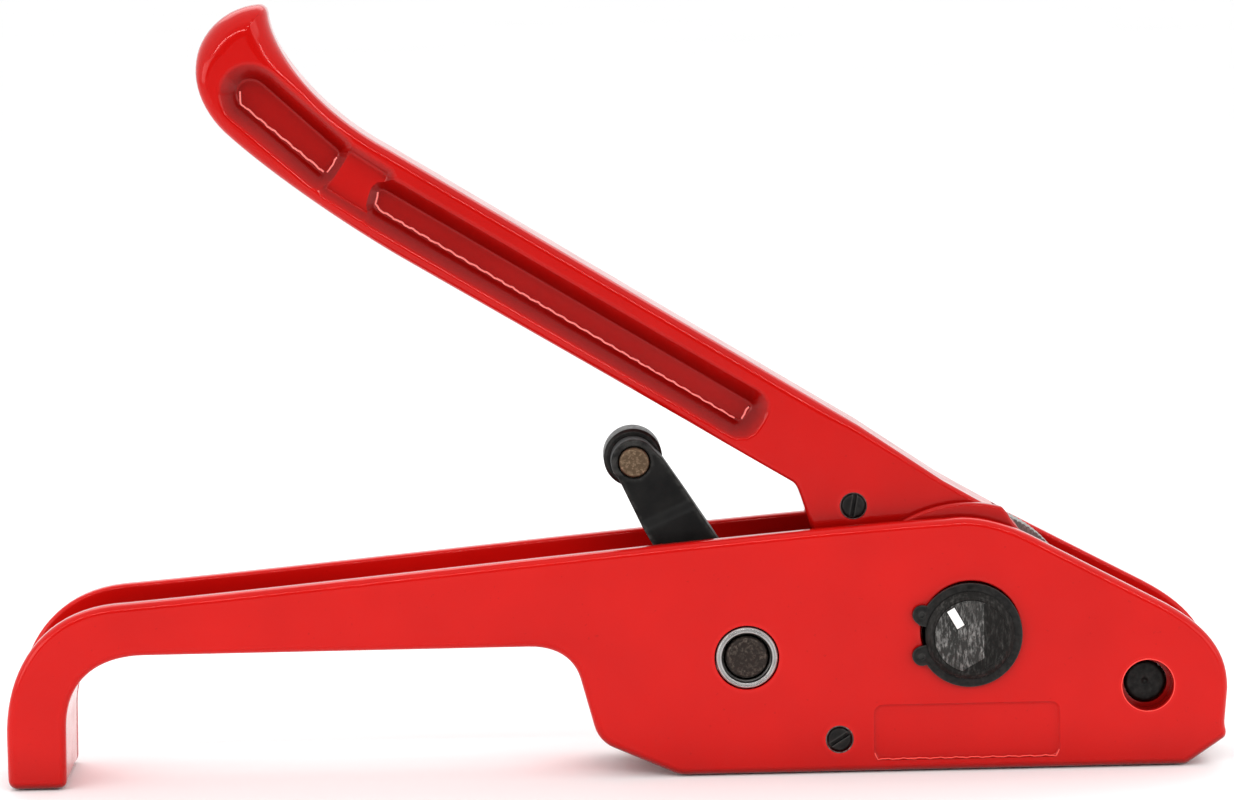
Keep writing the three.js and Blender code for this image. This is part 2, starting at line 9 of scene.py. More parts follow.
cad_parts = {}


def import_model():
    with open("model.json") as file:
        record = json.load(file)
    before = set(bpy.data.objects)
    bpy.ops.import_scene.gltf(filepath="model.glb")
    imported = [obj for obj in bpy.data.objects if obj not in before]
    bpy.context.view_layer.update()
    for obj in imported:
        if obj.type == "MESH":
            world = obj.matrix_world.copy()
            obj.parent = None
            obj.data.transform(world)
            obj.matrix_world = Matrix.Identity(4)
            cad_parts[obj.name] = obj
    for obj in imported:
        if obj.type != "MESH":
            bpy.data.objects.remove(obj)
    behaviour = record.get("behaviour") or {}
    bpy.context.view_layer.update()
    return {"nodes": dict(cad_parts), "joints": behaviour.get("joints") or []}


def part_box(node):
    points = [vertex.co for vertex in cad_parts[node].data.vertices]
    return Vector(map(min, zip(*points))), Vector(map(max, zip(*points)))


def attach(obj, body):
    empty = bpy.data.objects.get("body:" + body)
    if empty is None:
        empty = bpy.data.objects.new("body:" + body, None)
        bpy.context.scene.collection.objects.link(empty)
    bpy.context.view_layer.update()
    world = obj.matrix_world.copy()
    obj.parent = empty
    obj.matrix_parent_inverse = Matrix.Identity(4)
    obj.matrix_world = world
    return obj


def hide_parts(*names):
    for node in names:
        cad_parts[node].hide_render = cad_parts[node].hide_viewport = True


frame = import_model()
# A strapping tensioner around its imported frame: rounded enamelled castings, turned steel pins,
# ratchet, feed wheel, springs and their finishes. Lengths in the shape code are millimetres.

MM = 0.001
scene = bpy.context.scene
JOINT = {j["name"]: j for j in frame["joints"]}


def axis_of(joint):
    """Where a joint's axis crosses the X Z plane, in mm."""
    x, _, z = JOINT[joint]["pos_m"]
    return (x / MM, z / MM)


SHAFT = axis_of("wheel_spin")
NOSE = axis_of("rocker_lift")
RELEASE = axis_of("release_press")
ROLLER = axis_of("roller_spin")
DRIVE = axis_of("drive_pawl_lift")
HOLDING = axis_of("holding_pawl_lift")


def node_box(node):
    """A CAD node's lowest and highest corners, in mm."""
    low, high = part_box(node)
    return [c / MM for c in low], [c / MM for c in high]


def ends_of(node):
    """Where a CAD node starts and ends along Y, in mm."""
    low, high = node_box(node)
    return low[1], high[1]


def node_middle(node):
    low, high = node_box(node)
    return ((low[0] + high[0]) / 2, (low[2] + high[2]) / 2)


ANCHOR = node_middle("spring_anchor_screw")
LOCK_PIN = node_middle("rocker_pin_lock")

# ---- driving sizes, in mm, with Y at 0 on the tool's middle plane ----
WALL_OUT, WALL_IN = 19.0, 14.0  # the frame's side walls
FLOOR, HANDLE_FLOOR = 4.8, 41.0  # the channel's floor in the base and in the handle
SHAFT_HOLE_R, BUSHING_HOLE_R = 13.5, 8.65  # round holes in the walls
NOSE_BOSS_R, NOSE_HOLE_R = 8, 6.85  # the nose pin's bosses and the wide mouths of its holes
STRAP_SLOT_TOP = 10.6  # the slot is open on the far side
GRIPPER_HALF, GRIPPER_SCREWS = 20.3, [(-13, 9), (13, 9)]  # the toothed plate's pocket and screws
CHEEK_OUT, CHEEK_IN, CHEEK_R, CROWN_R = 13.6, 10.6, 29.5, 35  # the rocker's cheeks, one with a crown
LEVER_HALF, HUB_R = 10.2, 21.0  # the tension lever
POCKET, BRIDGE = 4.2, 2.1  # depths of the lever's pockets and of the step between them
BUSH_R, BUSH_BORE, WHEEL_ROOM_R = 14.2, 14.5, 33.2  # the lever's bushes and the room inside its fork
SHAFT_R, SHAFT_BORE = 12.0, 12.3
GROOVE_R, GROOVE = 11.0, (-20.9, -19.1)  # the shaft's groove for its circlip
KEYWAY_HALF, KEYWAY = 2.3, (9.7, 14.6)  # half its width, and from where to where above the axis
NOSE_PIN_R, NOSE_BORE = 5.6, 5.9
LOCK_Y, LOCK_BORE = -4, 1.8  # the upright hole for the lock pin
HOLDING_BORE, DRIVE_BORE = 2.8, 2.9
CREASE = (-87.2, 66.6)  # where the release arm's near face steps
HEAD_R, RECESS_R = 3.25, 3.55  # slotted screw heads and the recesses that they sit in
INDEX_AT, INDEX_TURN = (-4.0, 4.9), 30.0  # the white mark on the shaft's face, from its middle
TOOTH_AT, TEETH, TIP, ROOT = 84, 24, 20.5, 17.7  # the ratchet wheel: one tooth's angle, count and radii
WHEEL_R, WHEEL_TEETH, WHEEL_TOOTH = 31.9, 144, 0.3  # the feed wheel's rim, teeth and their depth
CAMERA = {
    "target": (-0.09427, -0.019, 0.10307),
    "distance": 1.1429,
    "azimuth": -1.656,
    "elevation": 7.55,
    "roll": -0.904,
    "lens": 124.654,
}


def polar(r, degrees, centre=SHAFT):
    a = math.radians(degrees)
    return (centre[0] + r * math.cos(a), centre[1] + r * math.sin(a))


# ---- node graph helper ----
SHADER_NAMES = {
    "metallic": "Metallic",
    "coat_weight": "Coat Weight",
    "coat_roughness": "Coat Roughness",
    "specular": "Specular IOR Level",
    "tint": "Specular Tint",
}


class Graph:
    """A small wrapper that adds and links shader nodes."""

    def __init__(self, name):
        self.material = bpy.data.materials.new(name)
        self.material.use_nodes = True
        self.tree = self.material.node_tree
        self.shader = self.tree.nodes["Principled BSDF"]

    def add(self, kind, **values):
        node = self.tree.nodes.new("ShaderNode" + kind)
        for key, value in values.items():
            if hasattr(node, key):
                setattr(node, key, value)
            else:
                node.inputs[key.replace("_", " ").title()].default_value = value
        return node

    def link(self, source, target):
        self.tree.links.new(source, target)

    def place(self, centre=None):
        """Object coordinates in metres, from the axis through centre when one is given."""
        coords = self.add("TexCoord").outputs["Object"]
        if centre is None:
            return coords
        moved = self.add("VectorMath", operation="SUBTRACT")
        self.link(coords, moved.inputs[0])
        moved.inputs[1].default_value = (centre[0] * MM, 0, centre[1] * MM)
        return moved.outputs[0]

    def stretched(self, scale, turn=0.0):
        """Object coordinates scaled along X, Y and Z and then turned about Y."""
        node = self.add("Mapping")
        node.inputs["Scale"].default_value = scale
        node.inputs["Rotation"].default_value = (0, math.radians(turn), 0)
        self.link(self.place(), node.inputs["Vector"])
        return node.outputs[0]

    def noise(self, size_mm, detail=3.0, rough=0.55, at=None):
        node = self.add("TexNoise", detail=detail, roughness=rough, scale=1 / (size_mm * MM))
        self.link(at or self.place(), node.inputs["Vector"])
        return node.outputs["Fac"]

    def spread(self, source, low, high, to_low=0.0, to_high=1.0):
        node = self.add("MapRange", from_min=low, from_max=high, to_min=to_low, to_max=to_high)
        self.link(source, node.inputs["Value"])
        return node.outputs["Result"]

    def math(self, operation, a, b=None):
        node = self.add("Math", operation=operation)
        for socket, value in zip(node.inputs, (a, b)):
            if value is None:
                continue
            if isinstance(value, (int, float)):
                socket.default_value = value
            else:
                self.link(value, socket)
        return node.outputs[0]

    def mix(self, factor, a, b):
        node = self.add("Mix", data_type="RGBA")
        self.link(factor, node.inputs["Factor"])
        for socket, value in ((node.inputs[6], a), (node.inputs[7], b)):
            if isinstance(value, tuple):
                socket.default_value = (*value, 1.0)
            else:
                self.link(value, socket)
        return node.outputs[2]

    def bump(self, height, distance_mm, strength=1.0, after=None):
        node = self.add("Bump", strength=strength, distance=distance_mm * MM)
        self.link(height, node.inputs["Height"])
        if after is not None:
            self.link(after, node.inputs["Normal"])
        return node.outputs["Normal"]

    def occlusion(self, reach_mm, inside, low, high, alone=True):
        """0 on open surfaces, rising to 1 near edges (inside) or in hollows, of the piece alone or of all."""
        reach = reach_mm * MM
        node = self.add("AmbientOcclusion", samples=6, inside=inside, only_local=alone, distance=reach)
        return self.spread(node.outputs["AO"], high, low)

    def edges(self, reach_mm, low=0.55, high=0.95):
        return self.occlusion(reach_mm, True, low, high)

    def hollows(self, reach_mm, low, high, alone=True):
        return self.occlusion(reach_mm, False, low, high, alone)

    def finish(self, color, roughness, normal, **constants):
        """Links the three and sets the other shader inputs. Roughness may be a number."""
        for name, source in (("Base Color", color), ("Roughness", roughness), ("Normal", normal)):
            if isinstance(source, float):
                self.shader.inputs[name].default_value = source
            else:
                self.link(source, self.shader.inputs[name])
        for name, value in constants.items():
            socket = self.shader.inputs[SHADER_NAMES[name]]
            socket.default_value = (*value, 1.0) if isinstance(value, tuple) else value
        return self.material


# ---- materials ----
def scaled(color, factor):
    return tuple(min(1.0, c * factor) for c in color)


def enamel(name, bright, deep, depth=0.8, shut=0.72, opens=0.97):
    """Red enamel on a casting: orange peel, a faint cast waviness, lighter on edges from thin paint and a
    painted highlight, darkened in hollows by pooled paint and painted shade, and darkened with painted shade
    near other pieces.
    """
    g = Graph(name)
    tone = g.spread(g.noise(28, 2), 0.3, 0.7)
    color = g.mix(tone, deep, bright)
    speck = g.spread(g.noise(1.1, 2), 0.7, 0.76, 0.0, 0.4)
    color = g.mix(speck, color, scaled(bright, 0.55))
    # lighter along edges: thin paint there, and a painted highlight for the light that rounded rims catch
    color = g.mix(g.edges(1.6, 0.5, 0.95), color, tuple(min(1.0, c * 1.12 + 0.008) for c in bright))
    # darker in hollows: partly pooled paint, partly painted shade where the hollows fall in shade
    pool_and_painted_shade = g.math("MULTIPLY", g.hollows(14, shut, opens), depth)
    color = g.mix(pool_and_painted_shade, color, scaled(deep, 0.32))
    # painted shade: darker where walls and other pieces close round the surface and block the light
    painted_shade = g.math("MULTIPLY", g.hollows(30, 0.15, 0.72, alone=False), 0.8)
    color = g.mix(painted_shade, color, scaled(deep, 0.2))
    rough = g.spread(g.noise(9, 3), 0.3, 0.7, 0.1, 0.2)
    wave = g.bump(g.noise(16, 1.5), 0.07, 0.35)
    peel = g.bump(g.noise(1.7, 1.0), 0.018, 0.5, after=wave)
    gloss = {"coat_weight": 0.16, "coat_roughness": 0.05, "specular": 0.42, "tint": (1.0, 0.26, 0.24)}
    return g.finish(color, rough, peel, **gloss)


def black_casting(name):
    """Satin black paint on a rough casting, rubbed grey along its edges."""
    g = Graph(name)
    color = g.mix(g.spread(g.noise(6, 4), 0.35, 0.7), (0.0035, 0.0035, 0.0035), (0.009, 0.0085, 0.008))
    rub = g.math("MULTIPLY", g.edges(1.4), g.spread(g.noise(2.2, 4), 0.35, 0.6))
    color = g.mix(rub, color, (0.07, 0.068, 0.064))
    rough = g.spread(g.noise(3, 4), 0.3, 0.7, 0.36, 0.55)
    grain = g.bump(g.noise(0.8, 4), 0.06, 0.55)
    return g.finish(color, rough, grain, specular=0.12)


def oxide(name, tone):
    """Blackened steel: nearly even, with a fine mottle."""
    g = Graph(name)
    mottle = g.spread(g.noise(1.6, 5, 0.65), 0.38, 0.72)
    color = g.mix(mottle, scaled((0.75, 0.73, 0.7), tone), scaled((2.3, 2.15, 2.0), tone))
    color = g.mix(g.edges(0.5, 0.5, 0.9), color, scaled((1, 0.97, 0.92), tone * 5))
    rough = g.spread(g.noise(1.12, 3), 0.3, 0.7, 0.28, 0.5)
    grain = g.bump(g.noise(0.5, 3), 0.012, 0.6)
    return g.finish(color, rough, grain, metallic=0.4, specular=0.2)


def turned_steel(name, centre, base, rough_low, rough_high):
    """Steel turned about an axis along Y: fine rings, small stains."""
    g = Graph(name)
    at = g.place(centre)
    split = g.add("SeparateXYZ")
    g.link(at, split.inputs[0])
    squares = [g.math("MULTIPLY", split.outputs[axis], split.outputs[axis]) for axis in ("X", "Z")]
    radius = g.math("SQRT", g.math("ADD", *squares))
    rings = g.add("TexNoise", noise_dimensions="1D", scale=1 / (0.35 * MM), detail=2.0)
    g.link(radius, rings.inputs["W"])
    groove = rings.outputs["Fac"]
    stain = g.spread(g.noise(3.5, 4), 0.45, 0.75)
    color = g.mix(stain, base, scaled(base, 0.72))
    color = g.mix(g.spread(groove, 0.35, 0.7, 0.0, 0.3), color, scaled(base, 0.6))
    rough = g.spread(groove, 0.3, 0.7, rough_low, rough_high)
    return g.finish(color, rough, g.bump(groove, 0.01, 0.7), metallic=1.0)


def ground_steel(name, base, rough_low, rough_high, along):
    """Flat ground steel with short streaks along one direction."""
    g = Graph(name)
    streak = g.noise(0.5, 3, at=g.stretched([0.08 if axis == along else 1 for axis in "XYZ"]))
    stain = g.spread(g.noise(5, 4), 0.45, 0.75)
    color = g.mix(stain, base, scaled(base, 0.7))
    color = g.mix(g.edges(0.5, 0.5, 0.9), color, scaled(base, 1.5))
    rough = g.spread(streak, 0.3, 0.7, rough_low, rough_high)
    return g.finish(color, rough, g.bump(streak, 0.012, 0.6), metallic=1.0)


def worn_face(name, dark, light, size_mm=0.7, drawn=0.3):
    """Blackened steel that rubbing has brightened in scratches and patches."""
    g = Graph(name)
    scratch = g.spread(g.noise(size_mm, 5, 0.7, at=g.stretched((1, 1, drawn), 25)), 0.48, 0.72)
    patch = g.spread(g.noise(4, 3), 0.35, 0.65, 0.25, 1.0)
    color = g.mix(g.math("MULTIPLY", scratch, patch), dark, light)
    rough = g.spread(scratch, 0.0, 1.0, 0.46, 0.3)
    return g.finish(color, rough, g.bump(scratch, 0.01, 0.6), metallic=0.9)


def white_fill(name):
    g = Graph(name)
    color = g.mix(g.spread(g.noise(0.6, 3), 0.4, 0.7), (0.95, 0.95, 0.93), (0.8, 0.79, 0.76))
    return g.finish(color, 0.6, g.bump(g.noise(0.3, 2), 0.02, 0.4))


RED_FRAME = enamel("frame_enamel", (0.555, 0.005, 0.0035), (0.5, 0.004, 0.003), 0.4)
RED_LEVER = enamel("lever_enamel", (0.49, 0.0035, 0.0025), (0.43, 0.003, 0.002), 0.95, 0.84, 1.0)
RED_ROCKER = enamel("rocker_enamel", (0.42, 0.0035, 0.0025), (0.35, 0.003, 0.002))
# pale pink enamel for the paint beads: a painted highlight
PAINT_RUN_HIGHLIGHT = enamel("pooled_enamel_highlight", (0.95, 0.2, 0.18), (0.8, 0.1, 0.09))
# light red enamel for the panel's ridge and the nose hole's rim: a painted highlight
PAINT_RIM_HIGHLIGHT = enamel("rim_enamel_highlight", (0.9, 0.07, 0.055), (0.7, 0.02, 0.015))
BLACK_CAST = black_casting("black_casting")
OXIDE = oxide("black_oxide", 0.011)
OXIDE_FACE = worn_face("shaft_oxide", (0.016, 0.015, 0.014), (0.07, 0.066, 0.062))
BROWN_PIN = worn_face("browned_pin", (0.032, 0.025, 0.022), (0.2, 0.16, 0.13), 0.9, 1.0)
STEEL_BUSHING = turned_steel("bushing_steel", RELEASE, (0.46, 0.45, 0.44), 0.2, 0.34)
STEEL_ROLLER_PIN = worn_face("roller_pin_brown", (0.11, 0.072, 0.044), (0.45, 0.31, 0.2), 1.1, 1.0)
GROUND_LAND = worn_face("shaft_land", (0.04, 0.039, 0.037), (0.4, 0.39, 0.375))
WORN_RIM = worn_face("worn_rim", (0.1, 0.06, 0.055), (0.5, 0.42, 0.4))
WHITE_FILL = white_fill("index_fill")
TOOL_STEEL = ground_steel("tool_steel", (0.3, 0.28, 0.26), 0.3, 0.5, "X")
BARE_STEEL = ground_steel("bare_steel", (0.58, 0.57, 0.55), 0.25, 0.42, "Y")
WHEEL_STEEL = worn_face("wheel_steel", (0.24, 0.235, 0.225), (0.55, 0.54, 0.52))
SPRING_STEEL = ground_steel("spring_steel", (0.42, 0.41, 0.39), 0.22, 0.4, "X")
BRONZE = turned_steel("bronze", SHAFT, (0.5, 0.33, 0.15), 0.25, 0.4)


# ---- mesh helpers ----
def new_piece(name, mesh, body, slot, material, *nodes):
    piece = bpy.data.objects.new(name, mesh)
    scene.collection.objects.link(piece)
    mesh.materials.clear()
    mesh.materials.append(material)
    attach(piece, body)
    if nodes:
        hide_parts(*nodes)
    return piece


def mesh_of(name, vertices, faces):
    mesh = bpy.data.meshes.new(name)
    mesh.from_pydata([(x * MM, y * MM, z * MM) for x, y, z in vertices], [], faces)
    build = bmesh.new()
    build.from_mesh(mesh)
    bmesh.ops.remove_doubles(build, verts=build.verts, dist=1e-7)
    bmesh.ops.recalc_face_normals(build, faces=build.faces)
    build.to_mesh(mesh)
    build.free()
    return mesh


def settle(mesh, modifiers):
    """The mesh after a list of (type, settings) modifiers, applied one by one."""
    holder = bpy.data.objects.new("holder", mesh)
    scene.collection.objects.link(holder)
    for kind, settings in modifiers:
        modifier = holder.modifiers.new(kind.lower(), kind)
        for key, value in settings.items():
            setattr(modifier, key, value)
    graph = bpy.context.evaluated_depsgraph_get()
    done = bpy.data.meshes.new_from_object(holder.evaluated_get(graph))
    bpy.data.objects.remove(holder)
    bpy.data.meshes.remove(mesh)
    return done


def smooth_shaded(mesh, angle=None):
    for face in mesh.polygons:
        face.use_smooth = True
    if angle is not None:
        mesh.set_sharp_from_angle(angle=math.radians(angle))
    return mesh


def bevelled(mesh, width_mm):
    settings = {
        "width": width_mm * MM,
        "segments": 2,
        "limit_method": "ANGLE",
        "angle_limit": math.radians(30),
        "use_clamp_overlap": True,
    }
    return smooth_shaded(settle(mesh, [("BEVEL", settings)]), 40)


def cut_by(mesh, *cutters, operation="DIFFERENCE"):
    """The mesh after a boolean with each cutter mesh in turn."""
    for cutter in cutters:
        tool = bpy.data.objects.new("cutter", cutter)
        scene.collection.objects.link(tool)
        settings = {"operation": operation, "solver": "MANIFOLD", "object": tool}
        mesh = settle(mesh, [("BOOLEAN", settings)])
        bpy.data.objects.remove(tool)
        bpy.data.meshes.remove(cutter)
    return mesh


def rounded(profile, radius, steps=3):
    """Corners of an open profile eased with short curves."""
    out = [profile[0]]
    for before, corner, after in zip(profile, profile[1:], profile[2:]):
        c = Vector(corner)
        arms = [Vector(before) - c, Vector(after) - c]
        reach = min([radius] + [arm.length * 0.45 for arm in arms])
        if reach < 1e-6 or abs(arms[0].normalized().dot(arms[1].normalized())) > 0.999:
            out.append(corner)
            continue
        start, end = (c + arm.normalized() * reach for arm in arms)
        for i in range(steps + 1):
            t = i / steps
            out.append(tuple(start * (1 - t) ** 2 + c * 2 * t * (1 - t) + end * t * t))
    return out + [profile[-1]]


def lathe(name, centre, profile, ease=0.25, segments=96, closed=False):
    """A profile of (radius, y) turned about the axis along Y through centre."""
    points = rounded(profile + profile[:2], ease)[1:-1] if closed else rounded(profile, ease)
    vertices, faces = [], []
    for i in range(segments):
        a = 2 * math.pi * i / segments
        for r, y in points:
            vertices.append((centre[0] + r * math.cos(a), y, centre[1] + r * math.sin(a)))
    count = len(points)
    spans = count if closed else count - 1
    for i in range(segments):
        for k in range(spans):
            a, b = i * count + k, i * count + (k + 1) % count
            c = ((i + 1) % segments) * count + (k + 1) % count
            d = ((i + 1) % segments) * count + k
            faces.append((a, b, c, d))
    mesh = mesh_of(name, vertices, faces)
    build = bmesh.new()
    build.from_mesh(mesh)
    bmesh.ops.dissolve_degenerate(build, edges=build.edges, dist=1e-7)
    bmesh.ops.recalc_face_normals(build, faces=build.faces)
    build.to_mesh(mesh)
    build.free()
    return smooth_shaded(mesh, 35)


def plate(name, outline, y0, y1):
    """An outline of (x, z) pulled along Y."""
    count = len(outline)
    vertices = [(x, y0, z) for x, z in outline] + [(x, y1, z) for x, z in outline]
    faces = [tuple(range(count)), tuple(range(2 * count - 1, count - 1, -1))]
    for i in range(count):
        j = (i + 1) % count
        faces.append((i, i + count, j + count, j))
    return mesh_of(name, vertices, faces)


def upright(outline, z0, z1):
    """An outline of (x, y) pulled along Z."""
    mesh = plate("upright", outline, z0, z1)
    mesh.transform(Matrix(((1, 0, 0, 0), (0, 0, 1, 0), (0, 1, 0, 0), (0, 0, 0, 1))))
    mesh.flip_normals()
    return mesh


def circle(centre, r, segments=48):
    return [polar(r, 360 * i / segments, centre) for i in range(segments)]


def rod(centre, r, y0, y1, segments=48):
    return plate("rod", circle(centre, r, segments), y0, y1)


def block(x0, x1, y0, y1, z0, z1, turn=0.0, centre=(0, 0)):
    """A cutting block, turned about the axis along Y through centre."""
    c, s = math.cos(math.radians(turn)), math.sin(math.radians(turn))
    outline = []
    for x, z in ((x0, z0), (x1, z0), (x1, z1), (x0, z1)):
        dx, dz = x - centre[0], z - centre[1]
        outline.append((centre[0] + dx * c - dz * s, centre[1] + dx * s + dz * c))
    return plate("block", outline, y0, y1)


def wire(name, points, r, body, slot, material, node, resolution=6):
    """A round wire along a smooth path."""
    curve = bpy.data.curves.new(name, "CURVE")
    curve.dimensions = "3D"
    curve.bevel_depth = r * MM
    curve.bevel_resolution = 4
    curve.use_fill_caps = True
    spline = curve.splines.new("NURBS")
    spline.points.add(len(points) - 1)
    spline.order_u = 3
    spline.use_endpoint_u = True
    spline.resolution_u = resolution
    for point, (x, y, z) in zip(spline.points, points):
        point.co = (x * MM, y * MM, z * MM, 1)
    holder = bpy.data.objects.new(name + "_path", curve)
    scene.collection.objects.link(holder)
    graph = bpy.context.evaluated_depsgraph_get()
    mesh = bpy.data.meshes.new_from_object(holder.evaluated_get(graph))
    bpy.data.objects.remove(holder)
    nodes = [node] if node else []
    return new_piece(name, smooth_shaded(mesh, 60), body, slot, material, *nodes)


# ---- castings ----
class Trace:
    """An outline in X and Z drawn with lines and curves."""

    def __init__(self, x, z):
        self.points = [(x, z)]

    def line(self, *points):
        self.points += points
        return self

    def curve(self, a, b, end, steps=16):
        start = self.points[-1]
        for i in range(1, steps + 1):
            t, u = i / steps, 1 - i / steps
            weights = (u**3, 3 * u * u * t, 3 * u * t * t, t**3)
            ends = (start, a, b, end)
            self.points.append(tuple(sum(w * p[k] for w, p in zip(weights, ends)) for k in (0, 1)))
        return self

    def bend(self, a, end, steps=6):
        start = self.points[-1]
        lead = tuple(start[k] + (a[k] - start[k]) * 2 / 3 for k in (0, 1))
        tail = tuple(end[k] + (a[k] - end[k]) * 2 / 3 for k in (0, 1))
        return self.curve(lead, tail, end, steps)

    def arc(self, centre, r, start, end, steps=24):
        turn = (end - start) / steps
        return self.line(*(polar(r, start + turn * i, centre) for i in range(steps + 1)))


def loop(points, ease=0.0):
    """A closed outline, anticlockwise, with its hard corners eased."""
    area = sum(a[0] * b[1] - b[0] * a[1] for a, b in zip(points, points[1:] + points[:1]))
    points = points if area > 0 else points[::-1]
    points = [p for p, q in zip(points, points[1:] + points[:1]) if math.dist(p, q) > 1e-3]
    out = []
    for i, corner in enumerate(points):
        c = Vector(corner)
        arms = [Vector(points[i - 1]) - c, Vector(points[(i + 1) % len(points)]) - c]
        if ease and arms[0].angle(arms[1]) < math.radians(168):
            reach = min([ease] + [arm.length * 0.45 for arm in arms])
            start, end = (c + arm.normalized() * reach for arm in arms)
            for k in range(5):
                t = k / 4
                out.append(tuple(start * (1 - t) ** 2 + c * 2 * t * (1 - t) + end * t * t))
        else:
            out.append(corner)
    return out


def inset(outline, depths):
    """An outline moved inwards by one depth, or one for each point; below 0 is outwards."""
    count = len(outline)
    if not isinstance(depths, list):
        depths = [depths] * count
    moved = []
    for i, (x, z) in enumerate(outline):
        before = Vector((x, z)) - Vector(outline[i - 1])
        after = Vector(outline[(i + 1) % count]) - Vector((x, z))
        before.normalize()
        after.normalize()
        stretch = max(1 + before.dot(after), 0.35)
        x -= depths[i] * (before.y + after.y) / stretch
        z += depths[i] * (before.x + after.x) / stretch
        moved.append((x, z))
    reach = min(40, count // 2 - 1)
    for i in range(count):
        for step in range(reach, 1, -1):
            hit = intersect_line_line_2d(*(moved[(i + k) % count] for k in (0, 1, step, step + 1)))
            if hit is not None:
                for k in range(1, step + 1):
                    moved[(i + k) % count] = tuple(hit)
                break
    return moved


def layered(name, rows):
    """A closed solid through rows of points that match one to one."""
    count = len(rows[0])
    faces = [tuple(range(count)), tuple(range(len(rows) * count - 1, (len(rows) - 1) * count - 1, -1))]
    for k in range(len(rows) - 1):
        for i in range(count):
            j = (i + 1) % count
            low, high = k * count, (k + 1) * count
            faces.append((low + i, high + i, high + j, low + j))
    return mesh_of(name, [p for row in rows for p in row], faces)


def rounded_slab(name, outline, y0, y1, r0, r1, steps=5):
    """A slab with rounded rims: r0 at y0 and r1 at y1, each a length or a function of X and Z."""
    rows = []
    for y, r, inward in ((y0, r0, 1), (y1, r1, -1)):
        radii = [r(*p) if callable(r) else r for p in outline]
        side = []
        for k in range(steps + 1):
            t = math.radians(90 * k / steps)
            line = inset(outline, [q * (1 - math.sin(t)) for q in radii])
            side.append(
                [(x, y + inward * q * (1 - math.cos(t)), z) for (x, z), q in zip(line, radii)]
            )
        rows += side if inward > 0 else side[::-1]
    return layered(name, rows)


def dish(outline, face, inward, steps):
    """A cutter from rows of (depth, how far the outline widens), below a face."""
    return layered("dish", [[(x, face + inward * d, z) for x, z in inset(outline, -w)] for d, w in steps])


def drill(centre, r, y0, y1, lip0=0.0, lip1=0.0):
    """A round cutter whose ends flare by a lip where they open on a face."""

    def end(y, out, lip):
        if not lip:
            return [(0, y + 3 * out), (r, y + 3 * out)]
        flare = [(r + lip, y), (r + lip * 0.3, y - out * lip * 0.3), (r, y - out * lip)]
        return [(0, y + 3 * out), (r + lip, y + 3 * out), *flare]

    profile = end(y0, -1, lip0) + end(y1, 1, lip1)[::-1]
    return lathe("drill", centre, profile, 0.0, 72)


def cast_piece(name, mesh, body, slot, material, node):
    mesh = smooth_shaded(mesh, 38)
    mesh = settle(mesh, [("WEIGHTED_NORMAL", {"keep_sharp": True, "weight": 60})])
    return new_piece(name, mesh, body, slot, material, node)


def frame_outline():
    t = Trace(59, 0)
    t.line((69.7, 7.2), (70.1, 8.6), (69.6, 11), (70.4, 21))
    t.curve((70.4, 33), (62, 40), (50, 46.2))
    t.line((18.9, 62.7))
    t.curve((11.5, 66.8), (3, 70), (-6, 68.8), 12)
    t.curve((-60, 66.3), (-180, 53.6), (-230.4, 50), 30)
    t.curve((-250, 48.2), (-260.2, 33), (-260.2, 14), 20)
    t.line((-260.2, 3)).bend((-260.2, 0), (-257.2, 0))
    t.line((-247, 0)).bend((-244.4, 0), (-244.4, 2.4))
    t.line((-244.1, 17))
    t.curve((-243.8, 29), (-236, 35.8), (-223, 36), 20)
    t.line((-119, 36.1))
    t.curve((-112, 36.1), (-107, 33), (-105.3, 27.2), 12)
    t.line((-101.8, 14.2)).bend((-100.6, 9.6), (-96.4, 7.8))
    t.line((-80.6, 0.8)).bend((-79, 0), (-77, 0))
    return loop(t.points, 0.9)


def channel_outline():
    t = Trace(90, FLOOR)
    t.line((90, 100), (-280, 100), (-280, 9), (-249.2, 9), (-249.1, 17))
    t.curve((-248.8, 32), (-240, HANDLE_FLOOR), (-224, HANDLE_FLOOR), 20)
    t.line((-118, HANDLE_FLOOR))
    t.curve((-108, HANDLE_FLOOR), (-102, 35), (-100.3, 28), 12)
    t.line((-97, 16)).bend((-96, 13), (-92, 11.4))
    t.line((-76, FLOOR))
    return loop(t.points)


